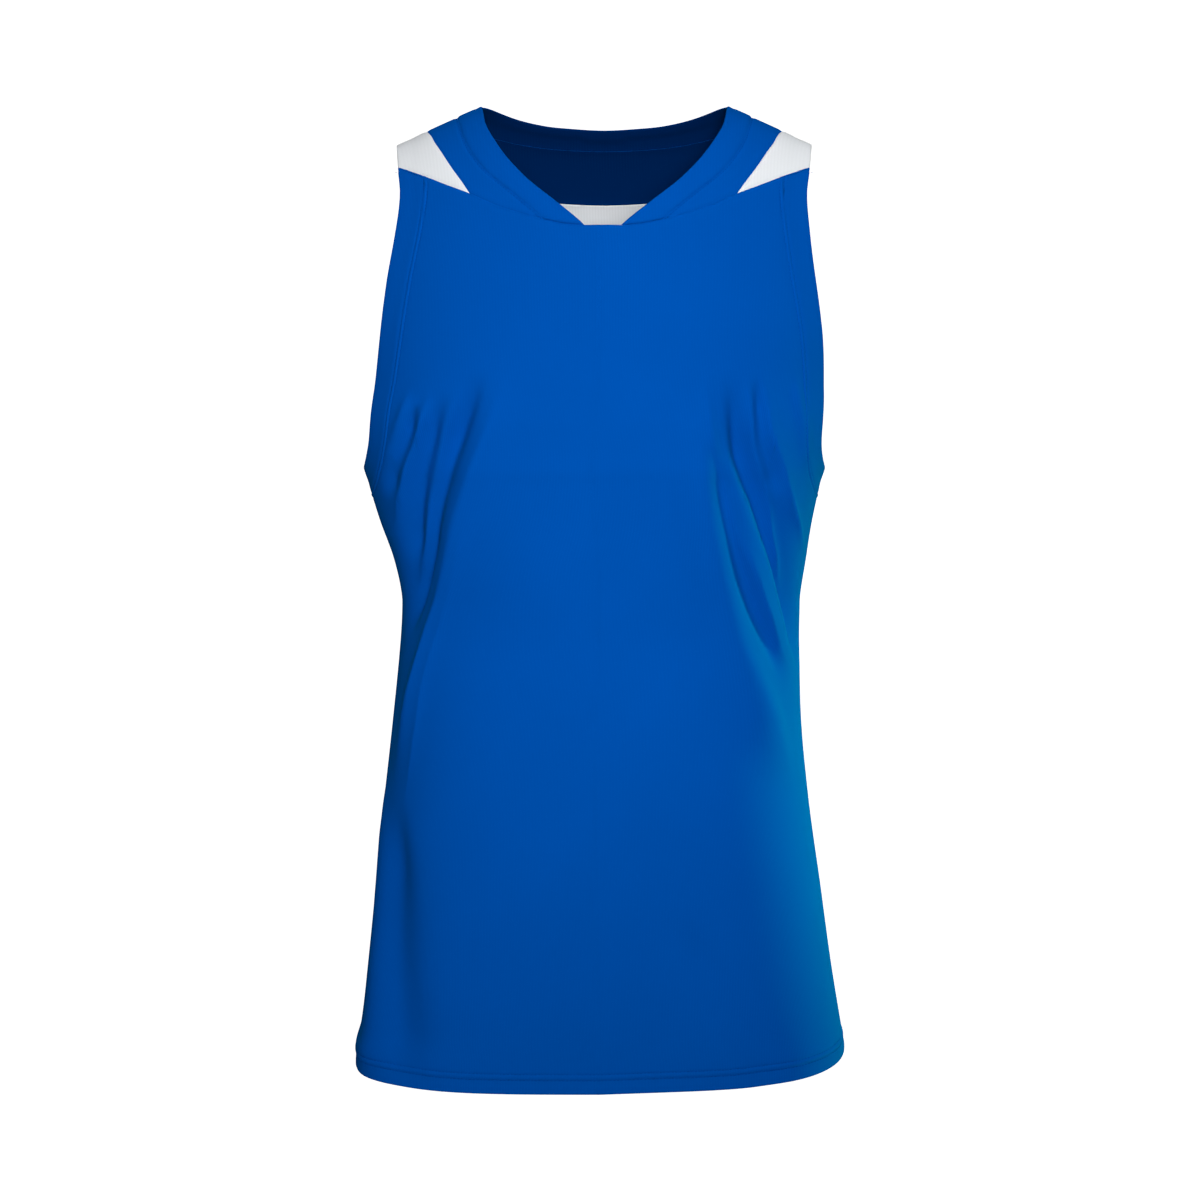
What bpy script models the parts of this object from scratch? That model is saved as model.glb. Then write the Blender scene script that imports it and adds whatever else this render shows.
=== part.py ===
"""A sleeveless V-neck basketball jersey, filled out as it hangs on a wearer, with nobody inside.

Units are metres, +Z is up and the front faces -Y; "left" is the wearer's left, which is +X.
The origin lies between the two shoulders, where they carry the garment. Every piece is a wall of
cloth whose outer face lies on one surface: level rings below the arms, and above them an arch that
runs from the chest over the shoulder ridge and down the back.
"""

import math
from collections import namedtuple

import bmesh
import bpy
from mathutils import Vector

# Cloth
CLOTH_THICKNESS = 0.0014
DOUBLED_THICKNESS = 0.0024
NECKBAND_THICKNESS = 0.0026
NECKBAND_RISE = 0.0004
SEAM_GAP = 0.0004

# Shoulder ridge, seen from the front: a hyperbola that falls away on each side of the centre line
RIDGE_PEAK = 0.0675
RIDGE_SLOPE = 0.50
RIDGE_ROUNDING = 0.060
RIDGE_SET_BACK = 0.008
ARCH_DROP = 0.260
ARCH_BULGE = (1.25, 0.0, -0.25)

# Places on the ridge, measured out from the centre line
NECK_HALF_WIDTH = 0.0940
BAND_SEAM_ON_RIDGE = 0.1127
INSERT_SEAM_ON_RIDGE = 0.1366
SHOULDER_TIP = 0.1594

# Heights
V_CORNER = -0.0843
UNDERARM = -0.266
HEM_FRONT = -0.7285
HEM_BACK = -0.7250
HEM_SIDE_RIGHT = -0.7160
HEM_SIDE_LEFT = -0.7085
HEM_DEPTH = 0.014
HEM_RAMP = 0.002
ARMHOLE_HEM = 0.024
ARMHOLE_HEM_RAMP = 0.004

Ring = namedtuple("Ring", "height centre half_width front back squareness")
RINGS = (
    Ring(0.060, 0.0003, 0.192, 0.116, 0.110, 2.3),
    Ring(-0.070, -0.0015, 0.192, 0.116, 0.112, 2.3),
    Ring(-0.120, -0.0029, 0.192, 0.117, 0.114, 2.3),
    Ring(-0.165, -0.0029, 0.190, 0.118, 0.115, 2.3),
    Ring(-0.200, -0.0043, 0.187, 0.118, 0.114, 2.3),
    Ring(-0.230, -0.0066, 0.185, 0.118, 0.112, 2.35),
    Ring(-0.255, -0.0082, 0.183, 0.117, 0.110, 2.4),
    Ring(-0.275, -0.0082, 0.1757, 0.116, 0.108, 2.4),
    Ring(-0.305, -0.0069, 0.166, 0.114, 0.104, 2.4),
    Ring(-0.335, -0.0039, 0.1583, 0.112, 0.100, 2.4),
    Ring(-0.366, -0.0031, 0.1530, 0.110, 0.097, 2.4),
    Ring(-0.397, -0.0039, 0.1536, 0.108, 0.095, 2.45),
    Ring(-0.459, -0.0062, 0.1575, 0.108, 0.096, 2.5),
    Ring(-0.521, -0.0067, 0.1640, 0.109, 0.101, 2.6),
    Ring(-0.583, -0.0054, 0.1714, 0.111, 0.107, 2.75),
    Ring(-0.644, -0.0043, 0.1787, 0.113, 0.112, 2.9),
    Ring(-0.691, -0.0032, 0.1853, 0.115, 0.116, 3.0),
    Ring(-0.708, -0.0039, 0.1890, 0.116, 0.117, 3.1),
    Ring(-0.740, -0.0039, 0.1890, 0.116, 0.117, 3.1),
)

# Outlines, as distance from the centre line and height; None is the height of the ridge there. Low on the
# armholes they are given as an angle round the body from the centre front (or back) instead.
Round = namedtuple("Round", "angle height")
NECK_EDGE_FRONT = (
    (NECK_HALF_WIDTH, None),
    (0.0910, -0.0010),
    (0.0855, -0.0130),
    (0.0740, -0.0300),
    (0.0600, -0.0455),
    (0.0480, -0.0560),
    (0.0315, -0.0690),
    (0.0135, V_CORNER),
)
BAND_SEAM_FRONT = (
    (BAND_SEAM_ON_RIDGE, None),
    (0.1080, -0.0100),
    (0.1010, -0.0250),
    (0.0900, -0.0400),
    (0.0770, -0.0515),
    (0.0640, -0.0620),
    (0.0540, -0.0705),
    (0.0440, -0.0795),
)
INSERT_SEAM = (
    (INSERT_SEAM_ON_RIDGE, None),
    (0.1300, -0.0155),
    (0.1230, -0.0260),
    (0.1140, -0.0395),
    (0.1002, -0.0590),
)
TOP_SEAM_FRONT = (
    (0.1567, -0.0365),
    (0.1390, -0.0430),
    (0.1200, -0.0510),
    (0.1002, -0.0590),
    (0.0810, -0.0680),
    (0.0620, -0.0745),
    (0.0440, -0.0795),
    (0.0280, -0.0830),
    (0.0135, V_CORNER),
    (0.0000, V_CORNER),
)
ARMHOLE_FRONT = (
    (SHOULDER_TIP, None),
    (0.1567, -0.0365),
    (0.1540, -0.0590),
    (0.1565, -0.0890),
    (0.1609, -0.1200),
    (0.1665, -0.1650),
    Round(71.0, -0.2080),
    Round(73.0, -0.2420),
    Round(78.5, -0.2590),
    Round(90.0, UNDERARM),
)
NECK_EDGE_BACK = (
    (NECK_HALF_WIDTH, None),
    (0.0860, 0.0105),
    (0.0700, 0.0055),
    (0.0480, 0.0010),
    (0.0240, -0.0010),
    (0.0000, -0.0020),
)
BAND_SEAM_BACK = (
    (BAND_SEAM_ON_RIDGE, None),
    (0.1010, -0.0045),
    (0.0800, -0.0105),
    (0.0540, -0.0148),
    (0.0270, -0.0168),
    (0.0000, -0.0175),
)
STRIPE_TOP = (
    (INSERT_SEAM_ON_RIDGE, None),
    (0.1220, -0.0290),
    (0.0950, -0.0455),
    (0.0600, -0.0545),
    (0.0300, -0.0575),
    (0.0000, -0.0585),
)
TOP_SEAM_BACK = (
    (0.1565, -0.0415),
    (0.1350, -0.0575),
    (0.1050, -0.0715),
    (0.0700, -0.0805),
    (0.0350, -0.0855),
    (0.0000, -0.0870),
)
ARMHOLE_BACK = (
    (SHOULDER_TIP, None),
    (0.1565, -0.0415),
    (0.1540, -0.0620),
    (0.1560, -0.0900),
    (0.1600, -0.1200),
    (0.1650, -0.1650),
    Round(71.0, -0.2080),
    Round(73.0, -0.2420),
    Round(78.5, -0.2590),
    Round(90.0, UNDERARM),
)

# Folds, each a soft ridge (or a trough, where the lift is negative) from one place to another. Angles are in
# degrees round the body from the centre front: +90 is the left side seam and 180 the centre back.
Fold = namedtuple("Fold", "start_angle start_height end_angle end_height bow half_width lift")
FOLDS = (
    Fold(-52, -0.205, -68, -0.325, 0.000, 0.006, 0.0030),
    Fold(-47, -0.205, -67, -0.335, 0.000, 0.006, -0.0030),
    Fold(-45, -0.210, -69, -0.365, 0.004, 0.007, 0.0045),
    Fold(-32, -0.195, -74, -0.425, 0.006, 0.011, -0.0065),
    Fold(-33, -0.215, -69, -0.480, 0.006, 0.011, 0.0050),
    Fold(-66, -0.520, -58, -0.760, 0.000, 0.017, -0.0050),
    Fold(55, -0.200, 71, -0.315, 0.000, 0.006, 0.0025),
    Fold(50, -0.200, 72, -0.360, 0.000, 0.007, 0.0040),
    Fold(44, -0.205, 71, -0.385, -0.003, 0.009, -0.0060),
    Fold(38, -0.205, 74, -0.420, -0.005, 0.009, 0.0050),
    Fold(35, -0.225, 68, -0.425, -0.004, 0.008, -0.0030),
    Fold(32, -0.225, 69, -0.470, -0.006, 0.011, 0.0042),
    Fold(150, -0.190, 107, -0.430, -0.005, 0.012, -0.0060),
    Fold(147, -0.225, 112, -0.480, -0.004, 0.012, 0.0048),
    Fold(134, -0.200, 109, -0.365, 0.000, 0.009, 0.0040),
    Fold(-144, -0.195, -106, -0.400, 0.006, 0.011, -0.0062),
    Fold(-148, -0.220, -111, -0.465, 0.004, 0.013, 0.0046),
    Fold(-131, -0.205, -108, -0.345, 0.000, 0.008, 0.0036),
    Fold(122, -0.520, 131, -0.760, 0.000, 0.018, -0.0045),
    Fold(-150, -0.540, -141, -0.760, 0.000, 0.020, -0.0040),
)
FOLD_RING_HEIGHT = -0.45
FOLD_FADE_IN = 0.30
FOLD_FADE_OUT = 0.35

BODY_BLUE = (0.000, 0.082, 0.440, 1.0)
INSERT_WHITE = (0.80, 0.82, 0.86, 1.0)
CLOTH_ROUGHNESS = 0.55

# Steps across each run of seam, and down each panel
CELLS_RIDGE = 6
CELLS_SHOULDER = 12
CELLS_ARMHOLE = 12
CELLS_BAND = 3
CELLS_V = 1
CELLS_STRIPE_END = 6
CELLS_ARMHOLE_BACK = 11
CELLS_ACROSS_BACK = 22
ROWS_FRONT = 28
ROWS_BACK = 24
FINE_STEPS = 12
FINE_CELLS = 200
STRIPE_END_FADE = 8
UNDERARM_CROWDING = 1.7

COLLECTION = "basketball_jersey"


# ---------------------------------------------------------------- surface


def blended(rows, height):
    """Every other column of a table of rows, smoothly interpolated at a height. The first row is the highest."""
    if height >= rows[0].height:
        return rows[0]
    if height <= rows[-1].height:
        return rows[-1]
    index = next(i for i, row in enumerate(rows) if row.height <= height) - 1
    above, below = rows[index], rows[index + 1]
    step = above.height - below.height
    share = (above.height - height) / step
    before = rows[max(index - 1, 0)]
    after = rows[min(index + 2, len(rows) - 1)]

    def column(n):
        slope = (below[n] - above[n]) / step
        slope_in = (below[n] - before[n]) / (before.height - below.height)
        slope_out = (after[n] - above[n]) / (above.height - after.height)
        if slope_in * slope <= 0:
            slope_in = 0.0
        if slope_out * slope <= 0:
            slope_out = 0.0
        h00 = 2 * share**3 - 3 * share**2 + 1
        h10 = share**3 - 2 * share**2 + share
        h01 = 3 * share**2 - 2 * share**3
        h11 = share**3 - share**2
        return h00 * above[n] + h10 * step * slope_in + h01 * below[n] + h11 * step * slope_out

    return type(above)(height, *(column(n) for n in range(1, len(above))))


def ridge_height(across):
    return RIDGE_PEAK - RIDGE_SLOPE * math.hypot(across, RIDGE_ROUNDING)


def arch(drop):
    """The share of the full depth that the arch has reached at this drop below the ridge, and its set-back."""
    t = math.sqrt(min(max(drop, 0.0), ARCH_DROP) / ARCH_DROP)
    bulge = sum(k * t ** (2 * i + 1) for i, k in enumerate(ARCH_BULGE))
    return bulge, RIDGE_SET_BACK * (1 - t) ** 2


def reach(angle, height):
    """The ring at a height and the horizontal distance from its centre to the cloth in one direction."""
    ring = blended(RINGS, height)
    depth = ring.front if math.cos(angle) >= 0 else ring.back
    power = ring.squareness
    across = abs(math.sin(angle) / ring.half_width) ** power
    along = abs(math.cos(angle) / depth) ** power
    return ring, depth, (across + along) ** (-1 / power)


def angle_at(across, height, back=False):
    """The direction in which a ring at a height lies this far to the left of its centre."""
    ring = blended(RINGS, height)
    depth = ring.back if back else ring.front
    along = depth * (1 - abs(across / ring.half_width) ** ring.squareness) ** (1 / ring.squareness)
    return math.atan2(across, -along if back else along)


def ring_lengths():
    """Lengths of cloth from the centre front to each whole degree of a ring of middling size."""
    radii = [reach(math.radians(step), FOLD_RING_HEIGHT)[2] for step in range(361)]
    places = [Vector((r * math.sin(math.radians(i)), r * math.cos(math.radians(i)))) for i, r in enumerate(radii)]
    lengths = [0.0]
    for before, after in zip(places, places[1:]):
        lengths.append(lengths[-1] + (after - before).length)
    return lengths


def length_round(angle):
    """The length of cloth from the centre front to a direction."""
    degrees = math.degrees(angle) % 360
    index = int(degrees)
    return LENGTHS[index] + (LENGTHS[(index + 1) % 361] - LENGTHS[index]) * (degrees - index)


def fold_lift(angle, height):
    """How far all the folds together move the cloth outwards at one place."""
    here, total = length_round(angle), 0.0
    for fold in FOLDS:
        start = length_round(math.radians(fold.start_angle))
        end = length_round(math.radians(fold.end_angle))
        line = Vector((wrapped(end - start), fold.end_height - fold.start_height))
        offset = Vector((wrapped(here - start), height - fold.start_height))
        share = offset.dot(line) / line.length_squared
        if not 0 < share < 1:
            continue
        aside = (offset.x * line.y - offset.y * line.x) / line.length - 4 * fold.bow * share * (1 - share)
        fade = eased(share / FOLD_FADE_IN) * eased((1 - share) / FOLD_FADE_OUT)
        total += fold.lift * fade * math.exp(-((aside / fold.half_width) ** 2))
    return total


def wrapped(length):
    return (length + LENGTHS[-1] / 2) % LENGTHS[-1] - LENGTHS[-1] / 2


def eased(value):
    value = min(max(value, 0.0), 1.0)
    return value * value * (3 - 2 * value)


# A place on the cloth is a direction round the body and a lead, which is the square root of the drop below the
# shoulder ridge as a share of ARCH_DROP. The lead is 0 on the ridge.


def place_at(angle, height):
    ring, depth, radius = reach(angle, height)
    drop = ridge_height(ring.centre + radius * math.sin(angle)) - height
    return angle, math.sqrt(max(drop, 0.0) / ARCH_DROP)


def height_of(angle, lead):
    height = 0.0
    for _ in range(7):
        ring, depth, radius = reach(angle, height)
        height = ridge_height(ring.centre + radius * math.sin(angle)) - ARCH_DROP * lead * lead
    return height


def surface(angle, lead):
    """The point of the cloth's outer face at a place."""
    height = height_of(angle, lead)
    ring, depth, radius = reach(angle, height)
    share, set_back = arch(ARCH_DROP * lead * lead)
    x, y = radius * math.sin(angle), -radius * math.cos(angle)
    power = ring.squareness - 1
    outward = Vector((
        math.copysign(abs(x / ring.half_width) ** power / ring.half_width, x),
        math.copysign(abs(y / depth) ** power / depth, y),
        0.0,
    )).normalized()
    return Vector((ring.centre + x, y * share + set_back, height)) + outward * fold_lift(angle, height)


def outward_normal(angle, lead):
    step = 0.002
    round_body = surface(angle + step, lead) - surface(angle - step, lead)
    down_body = surface(angle, lead + step) - surface(angle, max(lead - step, 0.0))
    return down_body.cross(round_body).normalized()


# ---------------------------------------------------------------- seam lines


def outline(table, side=1, back=False):
    """Places for the rows of a table, on the left (side 1) or the right (side -1)."""
    places = []
    for row in table:
        if isinstance(row, Round):
            direction = 180 - row.angle if back else row.angle
            places.append(place_at(side * math.radians(direction), row.height))
            continue
        across, height = row
        on_ridge = height is None
        height = ridge_height(side * across) if on_ridge else height
        angle = angle_at(side * across, height, back)
        places.append((angle, 0.0) if on_ridge else place_at(angle, height))
    if back:
        places = [(angle % (2 * math.pi), lead) for angle, lead in places]
    return [Vector(place) for place in places]


def traced(controls, stops, cells):
    """Runs of evenly spaced places along a smooth line through the controls, one run between each pair of stops.

    A line that ends on the ridge meets it square, so that the front's lines run on smoothly into the back's.
    """
    points = [surface(*place) for place in controls]
    knots = [0.0]
    for before, after in zip(points, points[1:]):
        knots.append(knots[-1] + (after - before).length)
    slopes = []
    for i in range(len(controls)):
        first, last = max(i - 1, 0), min(i + 1, len(controls) - 1)
        slope = (controls[last] - controls[first]) / (knots[last] - knots[first])
        slopes.append(Vector((0.0, slope.y)) if controls[i].y == 0 else slope)
    fine, marks = [controls[0]], [0]
    for i in range(len(controls) - 1):
        length = knots[i + 1] - knots[i]
        for step in range(1, FINE_STEPS + 1):
            t = step / FINE_STEPS
            fine.append(
                controls[i] * (2 * t**3 - 3 * t**2 + 1)
                + slopes[i] * (length * (t**3 - 2 * t**2 + t))
                + controls[i + 1] * (3 * t**2 - 2 * t**3)
                + slopes[i + 1] * (length * (t**3 - t**2))
            )
        marks.append(len(fine) - 1)
    runs = []
    for first, last, count in zip(stops, stops[1:], cells):
        stretch = fine[marks[first]:marks[last] + 1]
        runs.append(spaced(stretch, count))
    return runs


def spaced(places, count, crowding=1):
    """The same line with count steps in it, equal or, where crowding is over 1, shorter towards its end."""
    points = [surface(*place) for place in places]
    lengths = [0.0]
    for before, after in zip(points, points[1:]):
        lengths.append(lengths[-1] + (after - before).length)
    line = []
    for step in range(count + 1):
        wanted = lengths[-1] * (1 - (1 - step / count) ** crowding)
        index = max(next((i for i, length in enumerate(lengths) if length >= wanted), len(lengths) - 1), 1)
        share = (wanted - lengths[index - 1]) / (lengths[index] - lengths[index - 1])
        line.append(places[index - 1].lerp(places[index], share))
    line[0], line[-1] = places[0], places[-1]
    return line


def joined(*runs):
    """Several runs as one line, without repeating the places where they meet."""
    line = list(runs[0])
    for run in runs[1:]:
        line.extend(run[1:])
    return line


def filled(top, bottom, start, end, fade=1):
    """Rows of places between a top and a bottom line of equal counts, with the two given side lines.

    A side line's departure from straight fades away from its side, faster where fade is larger.
    """
    rows = []
    for i in range(len(start)):
        v = i / (len(start) - 1)
        start_off = start[i] - start[0].lerp(start[-1], v)
        end_off = end[i] - end[0].lerp(end[-1], v)
        row = []
        for j in range(len(top)):
            u = j / (len(top) - 1)
            row.append(top[j].lerp(bottom[j], v) + start_off * (1 - u) ** fade + end_off * u ** fade)
        rows.append(row)
    return rows


# ---------------------------------------------------------------- pieces


def set_in(points, normals, seams, distance):
    """Move the edges of a piece that are sewn to another a little way in, along the cloth."""
    lanes = {
        "top": (points[0], points[1], normals[0]),
        "bottom": (points[-1], points[-2], normals[-1]),
        "start": ([r[0] for r in points], [r[1] for r in points], [r[0] for r in normals]),
        "end": ([r[-1] for r in points], [r[-2] for r in points], [r[-1] for r in normals]),
    }
    inward = {}
    for edge, first, last in seams:
        lane, within, facing = lanes[edge]
        last = len(lane) - 1 if last is None else last
        for i in range(first, last + 1):
            along = lane[min(i + 1, last)] - lane[max(i - 1, first)]
            aside = facing[i].cross(along).normalized()
            if aside.dot(within[i] - lane[i]) < 0:
                aside.negate()
            spot = {
                "top": (0, i), "bottom": (len(points) - 1, i),
                "start": (i, 0), "end": (i, len(points[0]) - 1),
            }[edge]
            inward.setdefault(spot, []).append(aside)
    for (row, column), asides in inward.items():
        if len(asides) == 1:
            shift = asides[0] * distance
        else:
            shift = (asides[0] + asides[1]) * (distance / (1 + asides[0].dot(asides[1])))
        points[row][column] = points[row][column] + shift


def piece(name, material, places, seams, thickness, rise=0.0):
    """A closed wall of cloth on rows of places. thickness is a size or a function of a point."""
    normals = [[outward_normal(*place) for place in row] for row in places]
    points = [[surface(*place) for place in row] for row in places]
    set_in(points, normals, seams, SEAM_GAP / 2)
    mesh = bmesh.new()
    outer, inner = [], []
    for point_row, normal_row in zip(points, normals):
        outer.append([mesh.verts.new(p + n * rise) for p, n in zip(point_row, normal_row)])
        depths = [thickness(p) if callable(thickness) else thickness for p in point_row]
        inner.append([mesh.verts.new(p + n * (rise - d)) for p, n, d in zip(point_row, normal_row, depths)])
    rows, columns = len(outer) - 1, len(outer[0]) - 1
    for skin in (outer, inner):
        for i in range(rows):
            for j in range(columns):
                mesh.faces.new((skin[i][j], skin[i + 1][j], skin[i + 1][j + 1], skin[i][j + 1]))
    rim = [(0, j) for j in range(columns)] + [(i, columns) for i in range(rows)]
    rim += [(rows, j) for j in range(columns, 0, -1)] + [(i, 0) for i in range(rows, 0, -1)]
    for (i, j), (k, m) in zip(rim, rim[1:] + rim[:1]):
        mesh.faces.new((outer[i][j], outer[k][m], inner[k][m], inner[i][j]))
    bmesh.ops.recalc_face_normals(mesh, faces=mesh.faces)
    data = bpy.data.meshes.new(name)
    mesh.to_mesh(data)
    mesh.free()
    data.materials.append(material)
    obj = bpy.data.objects.new(name, data)
    bpy.data.collections[COLLECTION].objects.link(obj)
    return obj


def hem_height(angle):
    end = HEM_FRONT if math.cos(angle) >= 0 else HEM_BACK
    side = HEM_SIDE_LEFT if math.sin(angle) >= 0 else HEM_SIDE_RIGHT
    return end + (side - end) * math.sin(angle) ** 4


def body_rows(top, rows):
    """Rows of places from a top line down to the hem, with two rows kept for the edge of the turned-up hem."""
    grid = [list(top)]
    for i in range(1, rows + 1):
        row = []
        for angle, lead in top:
            high, low = height_of(angle, lead), hem_height(angle)
            fold = low + HEM_DEPTH
            if i == rows:
                height = low
            elif i == rows - 1:
                height = fold
            else:
                share = i / (rows - 2)
                height = high + (fold + HEM_RAMP - high) * share
            row.append(Vector(place_at(angle, height)))
        grid.append(row)
    return grid


def turned_in(edges):
    """Thickness of a panel that is doubled along its hem and along its armholes."""
    def thickness(point):
        above_hem = point.z - hem_height(math.atan2(point.x, -point.y))
        from_edge = min((point - spot).length for spot in edges)
        doubled = 1 - eased((above_hem - HEM_DEPTH) / HEM_RAMP)
        doubled = max(doubled, 1 - eased((from_edge - ARMHOLE_HEM) / ARMHOLE_HEM_RAMP))
        return CLOTH_THICKNESS + (DOUBLED_THICKNESS - CLOTH_THICKNESS) * doubled
    return thickness


def coloured(name, colour):
    material = bpy.data.materials.new(name)
    material.use_nodes = True
    shader = material.node_tree.nodes["Principled BSDF"]
    shader.inputs["Base Color"].default_value = colour
    shader.inputs["Roughness"].default_value = CLOTH_ROUGHNESS
    material.diffuse_color = colour
    return material


def ridge_run(inner, outer, side, back, cells):
    """Places along the shoulder ridge from one distance out to another."""
    line = []
    for i in range(cells + 1):
        across = side * (inner + (outer - inner) * i / cells)
        angle = angle_at(across, ridge_height(across), back)
        line.append(Vector((angle % (2 * math.pi) if back else angle, 0.0)))
    return line


def build():
    for obj in list(bpy.data.objects):
        bpy.data.objects.remove(obj)
    collection = bpy.data.collections.new(COLLECTION)
    bpy.context.scene.collection.children.link(collection)

    seams = {}
    for side in (1, -1):
        arm = outline(ARMHOLE_FRONT, side)
        shoulder, low = traced(arm, (0, 1, len(arm) - 1), (CELLS_SHOULDER, FINE_CELLS))
        low = spaced(low, CELLS_ARMHOLE, UNDERARM_CROWDING)
        top = outline(TOP_SEAM_FRONT, side)
        insert_low, yoke_low, band_end, bottom = traced(
            top, (0, 3, 6, 8, 9), (CELLS_RIDGE, CELLS_RIDGE, CELLS_BAND, CELLS_V)
        )
        insert_seam = traced(outline(INSERT_SEAM, side), (0, len(INSERT_SEAM) - 1), (CELLS_SHOULDER,))[0]
        band_seam = traced(outline(BAND_SEAM_FRONT, side), (0, len(BAND_SEAM_FRONT) - 1), (CELLS_SHOULDER,))[0]
        neck = traced(outline(NECK_EDGE_FRONT, side), (0, len(NECK_EDGE_FRONT) - 1), (CELLS_SHOULDER,))[0]
        seams[side] = (shoulder, low, insert_low, yoke_low, band_end, bottom, insert_seam, band_seam, neck)

        back_arm = outline(ARMHOLE_BACK, side, True)
        back_shoulder, back_low = traced(back_arm, (0, 1, len(back_arm) - 1), (CELLS_STRIPE_END, FINE_CELLS))
        back_low = spaced(back_low, CELLS_ARMHOLE_BACK, UNDERARM_CROWDING)
        seams[side] += (back_shoulder, back_low)

    def across_back(table):
        left = outline(table, 1, True)
        right = outline(table, -1, True)
        line = left + right[-2::-1]
        return traced(line, (0, len(line) - 1), (CELLS_ACROSS_BACK,))[0]

    blue = coloured("body_blue", BODY_BLUE)
    white = coloured("insert_white", INSERT_WHITE)

    # Front
    top_line = []
    for side in (1, -1):
        shoulder, low, insert_low, yoke_low, band_end, bottom = seams[side][:6]
        half = joined(low[::-1], insert_low, yoke_low, band_end, bottom)
        top_line = half if side == 1 else joined(top_line, half[::-1])
    arm_cells, seam_cells = CELLS_ARMHOLE, 2 * CELLS_RIDGE + CELLS_BAND
    width = len(top_line) - 1
    edges = [surface(*place) for side in (1, -1) for place in joined(seams[side][0], seams[side][1])]
    piece(
        "front", blue, body_rows(top_line, ROWS_FRONT),
        (
            ("top", arm_cells, arm_cells + seam_cells),
            ("top", width - arm_cells - seam_cells, width - arm_cells),
            ("start", 0, None), ("end", 0, None),
        ),
        turned_in(edges),
    )

    # Back
    back_top = across_back(TOP_SEAM_BACK)
    top_line = joined(seams[1][10][::-1], back_top, seams[-1][10])
    width = len(top_line) - 1
    edges_back = [surface(*place) for side in (1, -1) for place in joined(seams[side][9], seams[side][10])]
    piece(
        "back", blue, body_rows(top_line, ROWS_BACK),
        (("top", CELLS_ARMHOLE_BACK, width - CELLS_ARMHOLE_BACK), ("start", 0, None), ("end", 0, None)),
        turned_in(edges_back),
    )

    # Yokes, inserts and the band across the back
    for side, word in ((1, "left"), (-1, "right")):
        shoulder, low, insert_low, yoke_low, band_end, bottom, insert_seam, band_seam, neck = seams[side][:9]
        ridge = ridge_run(INSERT_SEAM_ON_RIDGE, SHOULDER_TIP, side, False, CELLS_RIDGE)
        piece(
            "insert_" + word, white, filled(ridge, insert_low[::-1], insert_seam, shoulder),
            (("top", 0, None), ("bottom", 0, None), ("start", 0, None)), CLOTH_THICKNESS,
        )
        ridge = ridge_run(BAND_SEAM_ON_RIDGE, INSERT_SEAM_ON_RIDGE, side, False, CELLS_RIDGE)
        piece(
            "yoke_front_" + word, blue, filled(ridge, yoke_low[::-1], band_seam, insert_seam),
            (("top", 0, None), ("bottom", 0, None), ("start", 0, None), ("end", 0, None)), CLOTH_THICKNESS,
        )

    band_back = across_back(BAND_SEAM_BACK)
    stripe_top = across_back(STRIPE_TOP)
    ends = [ridge_run(BAND_SEAM_ON_RIDGE, INSERT_SEAM_ON_RIDGE, side, True, CELLS_RIDGE) for side in (1, -1)]
    piece(
        "yoke_back", blue, filled(band_back, stripe_top, *ends),
        (("top", 0, None), ("bottom", 0, None), ("start", 0, None), ("end", 0, None)), CLOTH_THICKNESS,
    )
    ends = [
        joined(ridge_run(INSERT_SEAM_ON_RIDGE, SHOULDER_TIP, side, True, CELLS_RIDGE), seams[side][9])
        for side in (1, -1)
    ]
    piece(
        "stripe_back", white, filled(stripe_top, back_top, *ends, fade=STRIPE_END_FADE),
        (("top", 0, None), ("bottom", 0, None), ("start", 0, CELLS_RIDGE), ("end", 0, CELLS_RIDGE)),
        CLOTH_THICKNESS,
    )

    # Neckband: front left, round the back, front right
    neck_back = across_back(NECK_EDGE_BACK)
    rows = []
    for i in range(CELLS_BAND + 1):
        share = i / CELLS_BAND
        parts = []
        for side in (1, -1):
            band_end, band_seam, neck = seams[side][4], seams[side][7], seams[side][8]
            start, end = band_end[::-1], ridge_run(NECK_HALF_WIDTH, BAND_SEAM_ON_RIDGE, side, False, CELLS_BAND)
            sheet = filled(neck[::-1], band_seam[::-1], start, end)
            parts.append(sheet[i])
        back_ends = [ridge_run(NECK_HALF_WIDTH, BAND_SEAM_ON_RIDGE, side, True, CELLS_BAND) for side in (1, -1)]
        behind = filled(neck_back, band_back, *back_ends)[i]
        rows.append(joined(parts[0], behind, parts[1][::-1]))
    piece(
        "neckband", blue, rows,
        (("bottom", 0, None), ("start", 0, None), ("end", 0, None)), NECKBAND_THICKNESS, NECKBAND_RISE,
    )


LENGTHS = ring_lengths()
build()
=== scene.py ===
"""Dress a packed basketball jersey in fine cloth: smooth interlock knit, turned hems, seams and stitches.

Sizes are metres in the part's frame: +Z up, the front faces -Y, and "left" is the wearer's left, +X.
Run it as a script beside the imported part. Its settings and pieces are then listed in the Jersey tab of the
3-D view's sidebar.
"""

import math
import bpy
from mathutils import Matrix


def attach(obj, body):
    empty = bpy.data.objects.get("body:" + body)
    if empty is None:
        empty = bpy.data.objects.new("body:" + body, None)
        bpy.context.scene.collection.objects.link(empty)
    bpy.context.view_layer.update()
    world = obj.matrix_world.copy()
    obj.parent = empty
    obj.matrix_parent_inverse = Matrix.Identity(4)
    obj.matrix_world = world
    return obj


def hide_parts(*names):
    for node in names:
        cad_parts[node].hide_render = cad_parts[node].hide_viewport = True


bl_info = {
    "name": "Jersey Cloth",
    "version": (1, 0, 0),
    "blender": (4, 5, 0),
    "location": "View3D > Sidebar > Jersey",
    "description": "Builds the cloth, hems, seams and stitches of a sleeveless V-neck jersey",
    "category": "Object",
}

import bpy
import numpy as np
from bpy.props import FloatProperty, FloatVectorProperty, PointerProperty
from mathutils import Vector

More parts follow.
